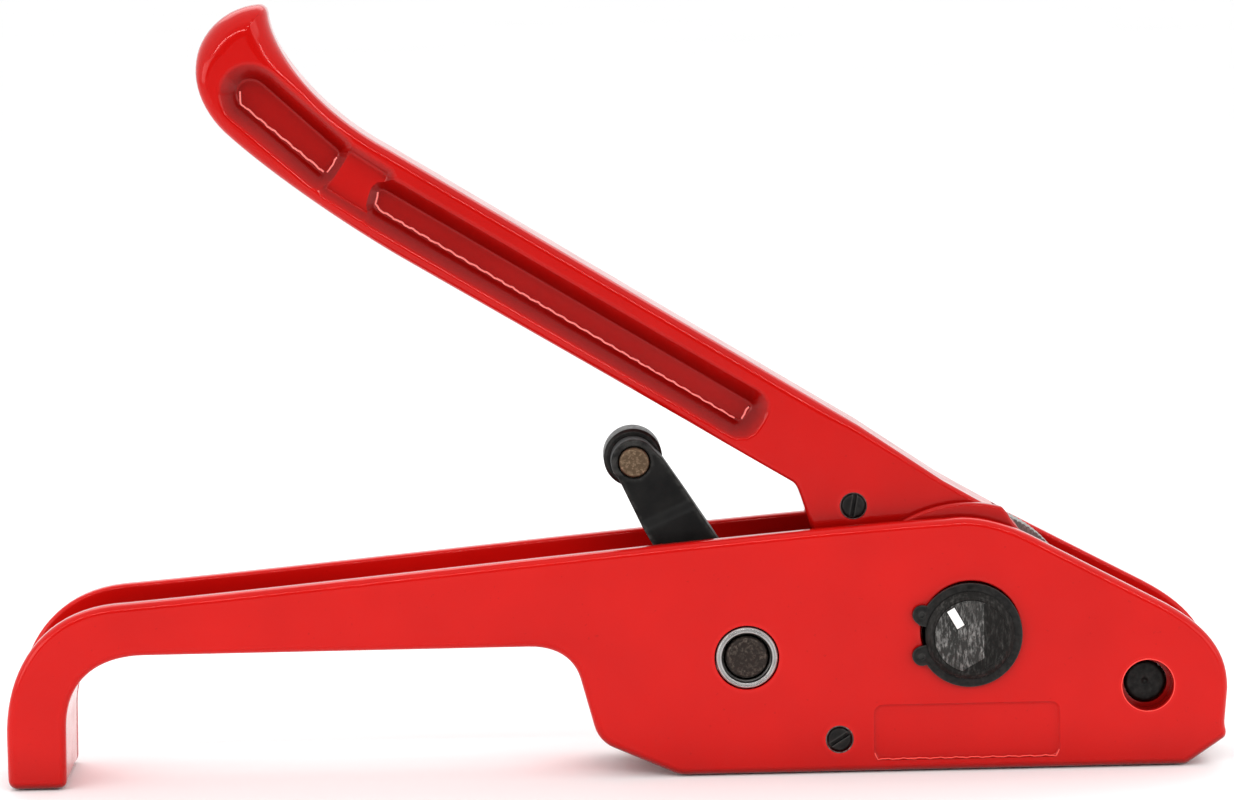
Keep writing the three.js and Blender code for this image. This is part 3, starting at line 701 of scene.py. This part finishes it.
def base_frame():
    outline, channel = frame_outline(), channel_outline()
    fillet = 1.9
    web = plate("web", inset(outline, 0.15), -WALL_IN - 1.3, WALL_IN + 1.3)
    web = cut_by(
        web,
        plate("above", inset(channel, fillet + 0.7), -30, 30),
        rounded_slab("channel", channel, 0.05 - WALL_IN, WALL_IN - 0.05, fillet, fillet, 4),
    )
    mesh = rounded_slab("near", outline, -WALL_OUT, -WALL_IN, 2.1, 1.1)
    mesh = cut_by(
        mesh,
        rounded_slab("far", outline, WALL_IN, WALL_OUT, 1.1, 2.1),
        web,
        rod(NOSE, NOSE_BOSS_R, -WALL_IN - 1.7, -10.4, 64),
        rod(NOSE, NOSE_BOSS_R, 10.4, WALL_IN + 1.7, 64),
        operation="UNION",
    )
    swept = (SHAFT[0] + 0.31, SHAFT[1] + 1.02)  # the middle of the shaft's way as the rocker lifts
    panel = loop([(-25.5, 3.7), (23.9, 3.7), (23.9, 17.9), (-25.5, 17.9)], 2.2)
    mesh = cut_by(
        mesh,
        drill(swept, SHAFT_HOLE_R, -WALL_OUT, -WALL_IN, 0.5, 0.3),
        drill(swept, SHAFT_HOLE_R, WALL_IN, WALL_OUT, 0.3, 0.5),
        drill(RELEASE, BUSHING_HOLE_R, -WALL_OUT, WALL_OUT, 0.4, 0.4),
        drill(NOSE, NOSE_BORE, -14, 14),
        drill(NOSE, NOSE_HOLE_R, -WALL_OUT, -16.4, 0.55),
        drill(NOSE, NOSE_HOLE_R, 16.4, WALL_OUT, 0, 0.55),
        drill(ANCHOR, 2.9, -14, -13),
        drill(ANCHOR, RECESS_R, -WALL_OUT, -20, 0.35),
        block(-120, 90, -2, 30, FLOOR, STRAP_SLOT_TOP),
        block(-GRIPPER_HALF, GRIPPER_HALF, -1.8, 30, 1.8, 8),
        dish(panel, -WALL_OUT, 1, [(-0.3, 0.9), (0, 0.62), (0.15, 0.45), (0.38, 0.1), (0.5, -0.25)]),
    )
    for place in GRIPPER_SCREWS:
        mesh = cut_by(mesh, upright(circle(place, 2.3, 32), -1, 3), upright(circle(place, 3.8, 32), -1, 1.1))
    return cast_piece("frame_casting", mesh, "base", "frame_paint", RED_FRAME, "base_frame")


def lever_outline():
    t = Trace(-47, 78.6)
    t.line(*[(-47 - 105 * k / 12, 78.6 + 63.1 * k / 12) for k in range(1, 13)])
    t.curve((-168, 151.6), (-187, 165.5), (-197.7, 175.7), 14)
    t.curve((-204, 182), (-206.2, 190), (-204.6, 196.5), 12)
    t.curve((-203, 203), (-196.5, 208.9), (-188.3, 209.4), 12)
    t.bend((-186, 209.4), (-185.6, 206.9), 8)
    t.curve((-184.6, 196.5), (-172, 180.5), (-154.2, 170.5), 20)
    t.line(*[(-154.2 + 125.4 * k / 14, 170.5 - 77 * k / 14) for k in range(1, 15)])
    t.line((-6, 78), (11.6, 67.8)).bend((14.4, 66), (15.2, 62.5))
    t.arc(SHAFT, HUB_R, 12, -160, 40)
    t.line((-41.8, 65.4)).bend((-44, 73), (-45.4, 76.6)).bend((-46, 78), (-47, 78.6))
    return loop(t.points)


def blend_between(value, low, high):
    t = min(1.0, max(0.0, (value - low) / (high - low)))
    return t * t * (3 - 2 * t)


def lever_round(x, z):
    """The lever's edges: crisp at its fork, fuller along the stem, and a knob at the tip."""
    stem = 1.3 + 1.6 * blend_between(z, 86, 100)
    return stem + 4.3 * blend_between(z, 186, 203)


def tension_lever():
    mesh = rounded_slab("lever", lever_outline(), -LEVER_HALF, LEVER_HALF, lever_round, lever_round, 7)
    grip = Trace(-193.5, 183.5).curve((-196, 188.5), (-191, 191.5), (-187.2, 188), 12)
    grip.line((-167.2, 169.6), (-171.2, 163.8))
    stem = [(-158.4, 154.8), (-156.6, 160), (-57.2, 99.4), (-60.2, 94.8)]
    step = [(-171, 160.4), (-164.4, 169.9), (-154.5, 163.3), (-160.2, 153.5)]
    slope = 4.5 / POCKET
    cutters = []
    for side in (-1, 1):
        face = side * LEVER_HALF
        for points, depth, ease in ((grip.points, POCKET, 1.2), (stem, POCKET, 1.6), (step, BRIDGE, 0.8)):
            wide = slope * depth
            rows = [(-0.6, wide + 1.6), (0, wide + 0.75), (0.16, wide + 0.22), (0.5, wide - 0.45)]
            rows += [(depth - 0.5, slope * 0.5 + 0.05), (depth - 0.14, 0.12), (depth, -0.35)]
            cutters.append(dish(loop(points, ease), face, -side, rows))
    pawl_room = loop([(-38.5, 63), (-40, 72), (-36, 80), (-28, 82), (-4, 71), (-16, 58)], 2)
    mesh = cut_by(
        mesh,
        *cutters,
        rod(SHAFT, WHEEL_ROOM_R, -7, 7, 96),
        plate("room", pawl_room, -7.01, -1.9),
        rod(DRIVE, 5.2, -3, 6),
        rod(SHAFT, BUSH_BORE, -30, 30, 96),
        rod(DRIVE, DRIVE_BORE, -30, 9.4),
        drill(DRIVE, RECESS_R, -LEVER_HALF, -11.2, 0.3),
    )
    return cast_piece("lever_casting", mesh, "lever_arm", "lever_paint", RED_LEVER, "tension_lever")


def pooled_paint_highlights():
    """Ragged beads of enamel that ran along the lower edges of the pockets' floors and set there, coloured
    pale pink as a painted highlight along those edges.
    """
    floor = LEVER_HALF - POCKET
    runs = {
        "grip_long": [(-193.4, 186.6), (-193.2, 183.2), (-190.6, 180.9), (-171.6, 164.6)],
        "grip_short": [(-170.6, 164.4), (-167.9, 168.4)],
        "stem_long": [(-157.4, 159.0), (-158.1, 155.6), (-156.4, 153.8), (-62.2, 95.8)],
        "stem_short": [(-60.3, 95.6), (-58.2, 98.7)],
    }
    for side, label in ((-1, "near"), (1, "far")):
        for run, corners in runs.items():
            points = []
            for (x0, z0), (x1, z1) in zip(corners, corners[1:]):
                length = math.dist((x0, z0), (x1, z1))
                count = max(2, round(length / 0.8))
                nx, nz = -(z1 - z0) / length, (x1 - x0) / length
                for k in range(count):
                    x = x0 + (x1 - x0) * k / count
                    z = z0 + (z1 - z0) * k / count
                    sway = 0.16 * math.sin(x * 1.9) + 0.12 * math.sin(x * 4.7 + 1)
                    rise = 0.05 + 0.1 * math.sin(x * 2.6 + 2)
                    points.append((x + nx * sway, side * (floor + rise), z + nz * sway))
            points.append((corners[-1][0], side * floor, corners[-1][1]))
            wire(f"paint_run_{run}_{label}", points, 0.3, "lever_arm", "lever_paint", PAINT_RUN_HIGHLIGHT, None, 3)


def panel_bead_highlight():
    """The ridge of enamel along the lower edge of the blank panel, coloured light red as a painted highlight.
    """
    y = -WALL_OUT + 0.02
    points = [(-25.9, y, 5.2)]
    for k in range(97):
        x = -25.2 + 48.8 * k / 96
        points.append((x, y, 3.5 + 0.12 * math.sin(x * 1.3) + 0.08 * math.sin(x * 3.1 + 1)))
    points.append((24.3, y, 5.2))
    wire("panel_bead_highlight", points, 0.2, "base", "frame_paint", PAINT_RIM_HIGHLIGHT, None, 3)


def cheek_outline(crowned):
    t = Trace(38, 13).line((38, 31))
    if crowned:
        t.arc(SHAFT, CHEEK_R, 8, 52, 20).line((12.5, 66.9), (11.2, 69.2)).arc(SHAFT, CROWN_R, 74, 148, 40)
    else:
        t.arc(SHAFT, CHEEK_R, 8, 148, 60)
    t.line((-43, 46)).bend((-49.5, 46), (-49.5, 42))
    t.line((-49.5, 36.9), (-43, 33), (HOLDING[0] - 6.3, HOLDING[1] + 1.5))
    t.arc(HOLDING, 6.5, 166, 252, 12).line((-24, 13))
    return loop(t.points, 0.8)


def lock_hole():
    """The upright hole for the lock pin, through the rocker's eye and the nose pin."""
    return upright(circle((LOCK_PIN[0], LOCK_Y), LOCK_BORE, 32), NOSE[1] - 20, NOSE[1] + 20)


def rocker():
    mesh = rounded_slab("cheek", cheek_outline(True), -CHEEK_OUT, -CHEEK_IN, 0.9, 0.6, 3)
    nose = [(36, 14), (48, 13.3), (48, 31.2), (36, 29)]
    mesh = cut_by(
        mesh,
        rounded_slab("cheek", cheek_outline(False), CHEEK_IN, CHEEK_OUT, 0.6, 0.9, 3),
        plate("tail", loop([(-49.4, 37), (-37, 37), (-37, 45.9), (-46, 45.9), (-49.4, 43)], 0.8), -12, 12),
        plate("nose", loop([(34.5, 13.1), (37.9, 13.1), (37.9, 29), (34.5, 29)], 0.5), -12, 12),
        rounded_slab("lug", loop(nose, 0.5), -10, 3, 0.6, 0.6, 3),
        rounded_slab("eye", circle(NOSE, 9, 72), -9.98, 2.98, 0.6, 0.6, 3),
        operation="UNION",
    )
    mesh = cut_by(
        mesh,
        rod(SHAFT, SHAFT_BORE, -30, 30, 96),
        drill(NOSE, NOSE_BORE, -10, 3, 0.4, 0.4),
        rod(HOLDING, HOLDING_BORE, -30, 30),
        lock_hole(),
    )
    return cast_piece("rocker_casting", mesh, "rocker_arm", "rocker_paint", RED_ROCKER, "rocker")


def swell(x, y, z):
    """The release arm's near face steps out towards its pivot, across a crease, and back in lower down."""
    beyond = ((x - CREASE[0]) * -4.6 + (z - CREASE[1]) * 10.2) / 11.2
    rise = 1.8 * blend_between(-beyond, -2.6, 1.6) * blend_between(z, 50, 56)
    depth = min(-y, 9.0)
    return -(depth + rise * blend_between(depth, 5.5, 8.8))


def release_casting():
    """The release lever: the CAD solid with every edge softened as it leaves a mould."""
    mesh = frame["nodes"]["release_lever"].data.copy()
    build = bmesh.new()
    build.from_mesh(mesh)
    bmesh.ops.remove_doubles(build, verts=build.verts, dist=1e-6)
    build.to_mesh(mesh)
    build.free()
    voxels = ("REMESH", {"mode": "VOXEL", "voxel_size": 0.42 * MM, "use_smooth_shade": True})
    mesh = settle(mesh, [voxels, ("SMOOTH", {"factor": 0.5, "iterations": 4})])
    for vertex in mesh.vertices:
        x, y, z = (c / MM for c in vertex.co)
        if y < -5.5 and z > 43:
            vertex.co.y = swell(x, y, z) * MM
    mesh = smooth_shaded(settle(mesh, [("SMOOTH", {"factor": 0.5, "iterations": 5})]))
    new_piece("release_casting", mesh, "release_arm", "black_casting", BLACK_CAST, "release_lever")


# ---- wheel set ----
def wheel_shaft():
    """The shaft: a chamfered near end with a ground land and an index mark, a headed far end."""
    y0, y1 = ends_of("wheel_shaft")
    r, head, under_head, skim = SHAFT_R, 14.4, 19.4, 0.22
    profile = [
        (0, y0 + skim), (9.9, y0 + skim), (9.9, y0), (10.7, y0), (r, y0 + 1.0), (r, GROOVE[0]),
        (GROOVE_R, GROOVE[0]), (GROOVE_R, GROOVE[1]), (r, GROOVE[1]), (r, under_head),
        (head, under_head), (head, 20.5), (13.6, y1), (9, y1), (8.6, y1 - 0.5), (0, y1 - 0.5),
    ]
    mesh = lathe("wheel_shaft_turned", SHAFT, profile, 0.12)
    mesh = smooth_shaded(cut_by(mesh, index_block(y0 - 1, y0 + skim + 0.25, 0.25)), 35)
    new_piece("wheel_shaft_turned", mesh, "wheel_set", "black_oxide", OXIDE_FACE, "wheel_shaft")
    land = plate("land", loop(land_outline(), 0.5), y0 + 0.02, y0 + skim + 0.1)
    land = cut_by(land, index_block(y0 - 1, y0 + skim + 1, 0.25))
    new_piece("shaft_land", bevelled(land, 0.06), "wheel_set", "bare_steel", GROUND_LAND)
    paint = index_block(y0, y0 + skim + 0.2, 0)
    new_piece("shaft_index_mark", bevelled(paint, 0.08), "wheel_set", "bare_steel", WHITE_FILL)


def index_block(y0, y1, margin):
    """A short bar on the shaft's face, pointing to its middle."""
    x, z = SHAFT[0] + INDEX_AT[0], SHAFT[1] + INDEX_AT[1]
    half = (1.15 + margin, 2.75 + margin)
    return block(x - half[0], x + half[0], y0, y1, z - half[1], z + half[1], INDEX_TURN, (x, z))


def land_outline():
    """The ground part of the face: a disc cut by two chords."""
    corners = [(-0.8, -8.6), (3.6, -6.2), (3.6, 8.8)]
    points = [polar(9.7, a) for a in range(66, 262, 4)]
    return points + [(SHAFT[0] + x, SHAFT[1] + z) for x, z in corners]


def shaft_circlip():
    """The retaining ring, with a lug and an eye at each end; each eye is blind, its dark floor standing in
    for the shade inside an open eye.
    """
    y0, y1 = ends_of("shaft_circlip")
    first, last, steps = 168, 192, 64
    span = 360 - (last - first)
    outer = [polar(14.2, last + span * i / steps) for i in range(steps + 1)]
    inner = [polar(11.3, first - span * i / steps) for i in range(steps + 1)]
    clip = plate("shaft_clip", outer + inner, y0, y1)
    for angle in (156, 203):
        lug = cut_by(rod(polar(14.1, angle), 2.65, y0, y1, 32), rod(SHAFT, 11.31, y0 - 1, y1 + 1, 96))
        clip = cut_by(clip, lug, operation="UNION")
        # the eyes stop short of the far face: their dark floor is painted shade where an open eye would show
        # the red wall in shade
        clip = cut_by(clip, rod(polar(14.3, angle), 0.85, y0 - 1, y1 - 0.2, 24))
    return new_piece("shaft_clip", bevelled(clip, 0.16), "wheel_set", "black_oxide", OXIDE, "shaft_circlip")


def keyed_bore(y0, y1):
    """Cutters for the shaft's bore and its keyway."""
    z0, z1 = (SHAFT[1] + z for z in KEYWAY)
    return rod(SHAFT, SHAFT_BORE, y0, y1, 96), block(-KEYWAY_HALF, KEYWAY_HALF, y0, y1, z0, z1)


def ratchet_wheel():
    y0, y1 = ends_of("ratchet_wheel")
    outline = []
    for i in range(TEETH):
        face = TOOTH_AT + 360 / TEETH * i
        outline += [polar(TIP, face), polar(ROOT, face + 0.3)]
    mesh = cut_by(plate("ratchet", outline, y0, y1), *keyed_bore(y0 - 1, y1 + 1))
    return new_piece("ratchet", bevelled(mesh, 0.2), "wheel_set", "tool_steel", TOOL_STEEL, "ratchet_wheel")


def feed_wheel():
    name = "feed_wheel_knurled"
    y0, y1 = ends_of("feed_wheel")
    outline = []
    for i in range(WHEEL_TEETH):
        a = 360 / WHEEL_TEETH * i
        outline += [polar(WHEEL_R, a - 0.5), polar(WHEEL_R, a + 0.5)]
        outline.append(polar(WHEEL_R - WHEEL_TOOTH, a + 180 / WHEEL_TEETH))
    mesh = plate(name, outline, y0, y1)
    relief = [(16.5, y0 - 1), (27, y0 - 1), (26.4, y0 + 1.2), (17.1, y0 + 1.2)]
    mesh = cut_by(mesh, lathe("relief", SHAFT, relief, 0.3, 96, closed=True), *keyed_bore(y0 - 1, y1 + 1))
    return new_piece(name, smooth_shaded(mesh, 25), "wheel_set", "bare_steel", WHEEL_STEEL, "feed_wheel")


# ---- pins, bushings and screws ----
def pin(name, node, centre, r, body, slot, material, ease=0.5, dimple=0.0, hole=None):
    y0, y1 = ends_of(node)
    ends = [(0, y0), (r - 0.6, y0), (r, y0 + 0.6), (r, y1 - 0.6), (r - 0.6, y1), (0, y1)]
    if dimple:
        ends[0:1] = [(0, y0 + dimple), (dimple, y0)]
        ends[-1:] = [(dimple, y1), (0, y1 - dimple)]
    mesh = lathe(name, centre, ends, ease)
    if hole:
        mesh = smooth_shaded(cut_by(mesh, hole), 25)
    return new_piece(name, mesh, body, slot, material, node)


def pivot_pins():
    pin("release_pin_turned", "release_pivot_pin", RELEASE, 5.75, "base", "tool_steel", BROWN_PIN)
    nose = {"dimple": 1.0, "hole": lock_hole()}
    pin("nose_pin_turned", "rocker_pivot_pin", NOSE, NOSE_PIN_R, "base", "black_oxide", OXIDE, **nose)
    pin("holding_pin_turned", "holding_pawl_pin", HOLDING, 2.5, "rocker_arm", "bare_steel", BARE_STEEL, 0.3)


def bushing(side, inward):
    """A flanged ring in a wall: a rounded lip on its open face, with a second one set back inside."""
    node = "release_bushing_" + side
    out, back = ends_of(node)[::inward]
    step = 0.35 * inward
    profile = [
        (6.25, back), (6.25, out + step * 5), (6.7, out + step * 4), (6.85, out + step * 0.4),
        (7.0, out), (7.4, out), (7.45, out + step * 0.5), (7.6, out + step * 0.5),
        (7.7, out), (7.95, out), (8.35, out + 1.3 * step), (8.35, back),
    ]
    mesh = lathe(node, RELEASE, profile, 0.1, closed=True)
    new_piece("bushing_" + side, mesh, "base", "bare_steel", STEEL_BUSHING, node)


def lever_bush(side):
    node = "lever_bush_" + side
    y0, y1 = ends_of(node)
    profile = [(SHAFT_BORE, y0), (BUSH_R, y0), (BUSH_R, y1), (SHAFT_BORE, y1)]
    mesh = lathe(node, SHAFT, profile, 0.3, closed=True)
    new_piece("bush_" + side, mesh, "lever_arm", "bronze", BRONZE, node)


def slotted_screw(name, node, centre, head, slot_angle, body):
    y0, y1 = ends_of(node)
    (x, z), r, shank_r = centre, HEAD_R, 2.6
    profile = [
        (0, y0), (r - 0.45, y0), (r, y0 + 0.45), (r, y0 + head), (shank_r, y0 + head),
        (shank_r, y1 - 0.5), (shank_r - 0.5, y1), (0, y1),
    ]
    mesh = lathe(name, centre, profile, 0.2, 64)
    slot = block(x - 5, x + 5, y0 - 1, y0 + 1.2, z - 0.55, z + 0.55, slot_angle, centre)
    mesh = smooth_shaded(cut_by(mesh, slot), 35)
    return new_piece(name, mesh, body, "black_oxide", OXIDE, node)


def rim(name, centre, y, r, body, slot, material, width):
    """A thin ring round a hole, where the enamel ends or stands up in a ridge; the nose hole's ridge is
    coloured light red as a painted highlight.
    """
    profile = [(r, y + 0.25), (r, y - 0.03), (r + width, y - 0.03), (r + width + 0.12, y + 0.25)]
    new_piece(name, lathe(name, centre, profile, 0.05, 64, closed=True), body, slot, material)


# ---- roller ----
def roller():
    r, lip = 8, 4.9
    y0, y1 = ends_of("release_roller")
    profile = [
        (4.4, y0 + 0.5), (lip, y0), (7.2, y0), (r, y0 + 0.8),
        (r, y1 - 0.8), (7.2, y1), (lip, y1), (4.4, y1 - 0.5),
    ]
    mesh = lathe("roller_turned", ROLLER, profile, 0.2, closed=True)
    new_piece("roller_turned", mesh, "roller_ring", "black_oxide", OXIDE, "release_roller")


def roller_pin():
    """The roller's pin, with a groove for its clip at the far end."""
    r, groove_r, groove = 4.1, 3.4, (9.6, 10.7)
    y0, y1 = ends_of("roller_pin")
    profile = [
        (0, y0 + 0.1), (3.1, y0), (3.7, y0 + 0.15), (r, y0 + 0.6), (r, groove[0]), (groove_r, groove[0]),
        (groove_r, groove[1]), (r, groove[1]), (r, y1 - 0.3), (3.8, y1), (0, y1),
    ]
    mesh = lathe("roller_pin_turned", ROLLER, profile, 0.15)
    new_piece("roller_pin_turned", mesh, "release_arm", "brown_steel", STEEL_ROLLER_PIN, "roller_pin")


def roller_clip():
    y0, y1 = ends_of("roller_clip")
    x, z = ROLLER
    ring = cut_by(rod(ROLLER, 6, y0, y1, 64), rod(ROLLER, 3.6, y0 - 1, y1 + 1))
    ring = bevelled(cut_by(ring, block(x - 1.6, x + 1.6, y0 - 1, y1 + 1, z - 10, z)), 0.12)
    new_piece("roller_e_clip", ring, "release_arm", "spring_steel", SPRING_STEEL, "roller_clip")


# ---- pawls ----
def pawl(name, node, centre, boss, bore, face, back, body):
    """A pawl from its boss to a tip that faces the ratchet's tooth at an angle."""
    y0, y1 = ends_of(node)
    outline = [polar(19.1, face + 1.1), polar(22.4, face + 1.4), *back, polar(20.9, face + 9.6)]
    mesh = plate(name, outline, y0, y1)
    mesh = cut_by(mesh, rod(centre, boss, y0, y1, 64), operation="UNION")
    mesh = cut_by(mesh, rod(centre, bore, y0 - 1, y1 + 1))
    return new_piece(name, bevelled(mesh, 0.3), body, "tool_steel", TOOL_STEEL, node)


def pawls():
    back = [(-4, 64.5), (-27.5, 77), (-33, 66.4)]
    pawl("drive_pawl_forged", "drive_pawl", DRIVE, 6, DRIVE_BORE, TOOTH_AT, back, "drive_pawl_arm")
    back = [(-27, 42), (-38.6, 23.4), (-28.4, 20)]
    tooth = TOOTH_AT + 5 * 360 / TEETH
    pawl("holding_pawl_forged", "holding_pawl", HOLDING, 5.4, HOLDING_BORE, tooth, back, "holding_pawl_arm")


# ---- springs ----
def coil(centre, r, y0, y1, turns, start, per_turn=16):
    count = round(turns * per_turn)
    points = []
    for i in range(count + 1):
        x, z = polar(r, start + 360 * turns * i / count, centre)
        points.append((x, y0 + (y1 - y0) * i / count, z))
    return points


def spring(name, node, points, r, body):
    wire(name, points, r, body, "spring_steel", SPRING_STEEL, node)


def springs():
    lower = [(-38.6, -12.6, 13.4), (-45, -12.6, 18.5)]
    upper = [(-70.5, -10.2, 38), (-72, -10.2, 43)]
    turns = coil(RELEASE, 8.2, -12.6, -10.2, 1.5, -60)
    spring("release_torsion_spring", "release_spring", lower + turns + upper, 0.75, "base")
    upper = [(39.4, 4.4, 31), (43, 4.4, 30.4)]
    lower = [(56, 9, 12), (60, 9, 6.2)]
    turns = coil(NOSE, 7.4, 4.4, 9, 2.5, 90)
    spring("rocker_torsion_spring", "rocker_spring", upper + turns + lower, 0.75, "base")
    turns = coil(DRIVE, 4, 0, 5, 3.5, 100)
    spring("drive_torsion_spring", "drive_pawl_spring", turns, 0.4, "lever_arm")
    turns = coil(HOLDING, 3.6, 1, 7, 4, 200)
    spring("holding_torsion_spring", "holding_pawl_spring", turns, 0.4, "rocker_arm")


# ---- CAD pieces that keep their own shape ----
KEPT = {
    "gripper_plate": TOOL_STEEL,
    "gripper_plate_screw_1": OXIDE,
    "gripper_plate_screw_2": OXIDE,
    "rocker_pin_lock": SPRING_STEEL,
    "wheel_key": BARE_STEEL,
}


def kept_pieces():
    for name, material in KEPT.items():
        for slot in frame["nodes"][name].material_slots:
            slot.material = material


# ---- floor, light and camera ----
def stage():
    """A paper floor, white by the tool and light grey far in front of it."""
    size = 12.0
    mesh = bpy.data.meshes.new("floor")
    corners = [(-size, -size), (size, -size), (size, size), (-size, size)]
    mesh.from_pydata([(x, y, -0.0004) for x, y in corners], [], [(0, 1, 2, 3)])
    floor = bpy.data.objects.new("floor", mesh)
    scene.collection.objects.link(floor)
    g = Graph("floor_paper")
    split = g.add("SeparateXYZ")
    g.link(g.place(), split.inputs[0])
    forward = g.spread(split.outputs["Y"], -0.08, -0.75)
    paper = g.mix(g.spread(g.noise(300, 2), 0.3, 0.7), (0.97, 0.97, 0.97), (0.95, 0.95, 0.95))
    color = g.mix(forward, paper, (0.6, 0.6, 0.6))
    mesh.materials.append(g.finish(color, 0.9, g.bump(g.noise(1, 2), 0.01, 0.2)))


def area_light(name, place, target, size, power):
    data = bpy.data.lights.new(name, "AREA")
    data.shape = "RECTANGLE"
    data.size, data.size_y = size
    data.energy = power
    lamp = bpy.data.objects.new(name, data)
    scene.collection.objects.link(lamp)
    lamp.location = place
    lamp.rotation_euler = (Vector(target) - Vector(place)).to_track_quat("-Z", "Y").to_euler()


def world():
    """A light tent: white behind and above the tool, dim on the side it is seen from."""
    space = bpy.data.worlds.new("studio")
    scene.world = space
    space.use_nodes = True
    tree = space.node_tree
    back = tree.nodes["Background"]
    coords = tree.nodes.new("ShaderNodeTexCoord")
    split = tree.nodes.new("ShaderNodeSeparateXYZ")
    tree.links.new(coords.outputs["Generated"], split.inputs[0])
    depth = tree.nodes.new("ShaderNodeMapRange")
    depth.interpolation_type = "SMOOTHSTEP"
    depth.inputs["From Min"].default_value = -0.95
    depth.inputs["From Max"].default_value = -0.45
    depth.inputs["To Min"].default_value = 0.12
    depth.inputs["To Max"].default_value = 1.14
    tree.links.new(split.outputs["Y"], depth.inputs["Value"])
    tree.links.new(depth.outputs["Result"], back.inputs["Strength"])
    back.inputs["Color"].default_value = (1, 1, 1, 1)


def camera():
    """A long lens a little above and left of the tool's middle."""
    data = bpy.data.cameras.new("camera")
    data.sensor_width = 36
    data.lens = CAMERA["lens"]
    data.clip_end = 20
    view = bpy.data.objects.new("camera", data)
    scene.collection.objects.link(view)
    azimuth, elevation = math.radians(CAMERA["azimuth"]), math.radians(CAMERA["elevation"])
    reach = math.cos(elevation)
    away = Vector((math.sin(azimuth) * reach, -math.cos(azimuth) * reach, math.sin(elevation)))
    target = Vector(CAMERA["target"])
    view.location = target + away * CAMERA["distance"]
    turn = (-away).to_track_quat("-Z", "Y").to_matrix()
    view.rotation_euler = (turn @ Matrix.Rotation(math.radians(CAMERA["roll"]), 3, "Z")).to_euler()
    scene.camera = view


# ---- the tool, piece by piece ----
base_frame()
tension_lever()
pooled_paint_highlights()
panel_bead_highlight()
rocker()
release_casting()
wheel_shaft()
shaft_circlip()
ratchet_wheel()
feed_wheel()
pivot_pins()
bushing("near", 1)
bushing("far", -1)
lever_bush("near")
lever_bush("far")
slotted_screw("anchor_screw_slotted", "spring_anchor_screw", ANCHOR, 1.5, 32, "base")
slotted_screw("drive_screw_slotted", "drive_pawl_screw", DRIVE, 1.8, 80, "lever_arm")
rim("anchor_recess_rim", ANCHOR, -WALL_OUT, 3.5, "base", "bare_steel", WORN_RIM, 0.3)
rim("drive_recess_rim", DRIVE, -LEVER_HALF, 3.45, "lever_arm", "bare_steel", WORN_RIM, 0.2)
# a light red ring at the nose hole's mouth: a painted highlight
rim("nose_hole_rim_highlight", NOSE, -WALL_OUT, 7.1, "base", "frame_paint", PAINT_RIM_HIGHLIGHT, 0.2)
roller()
roller_pin()
roller_clip()
pawls()
springs()
kept_pieces()

# ---- the studio, in metres and watts ----
scene.view_settings.view_transform = "Standard"
stage()
area_light("left", (-1.15, -0.85, 0.36), (-0.1, 0, 0.08), (0.8, 0.5), 3.9)
area_light("right", (0.95, -0.95, 0.36), (-0.05, 0, 0.06), (0.8, 0.5), 2.5)
area_light("strip", (-0.1, -0.95, 0.66), (-0.09, 0, 0.09), (1.7, 0.05), 5.0)
area_light("back", (-0.1, 0.75, 1.0), (-0.09, 0, 0.06), (1.6, 0.6), 5)
world()
camera()
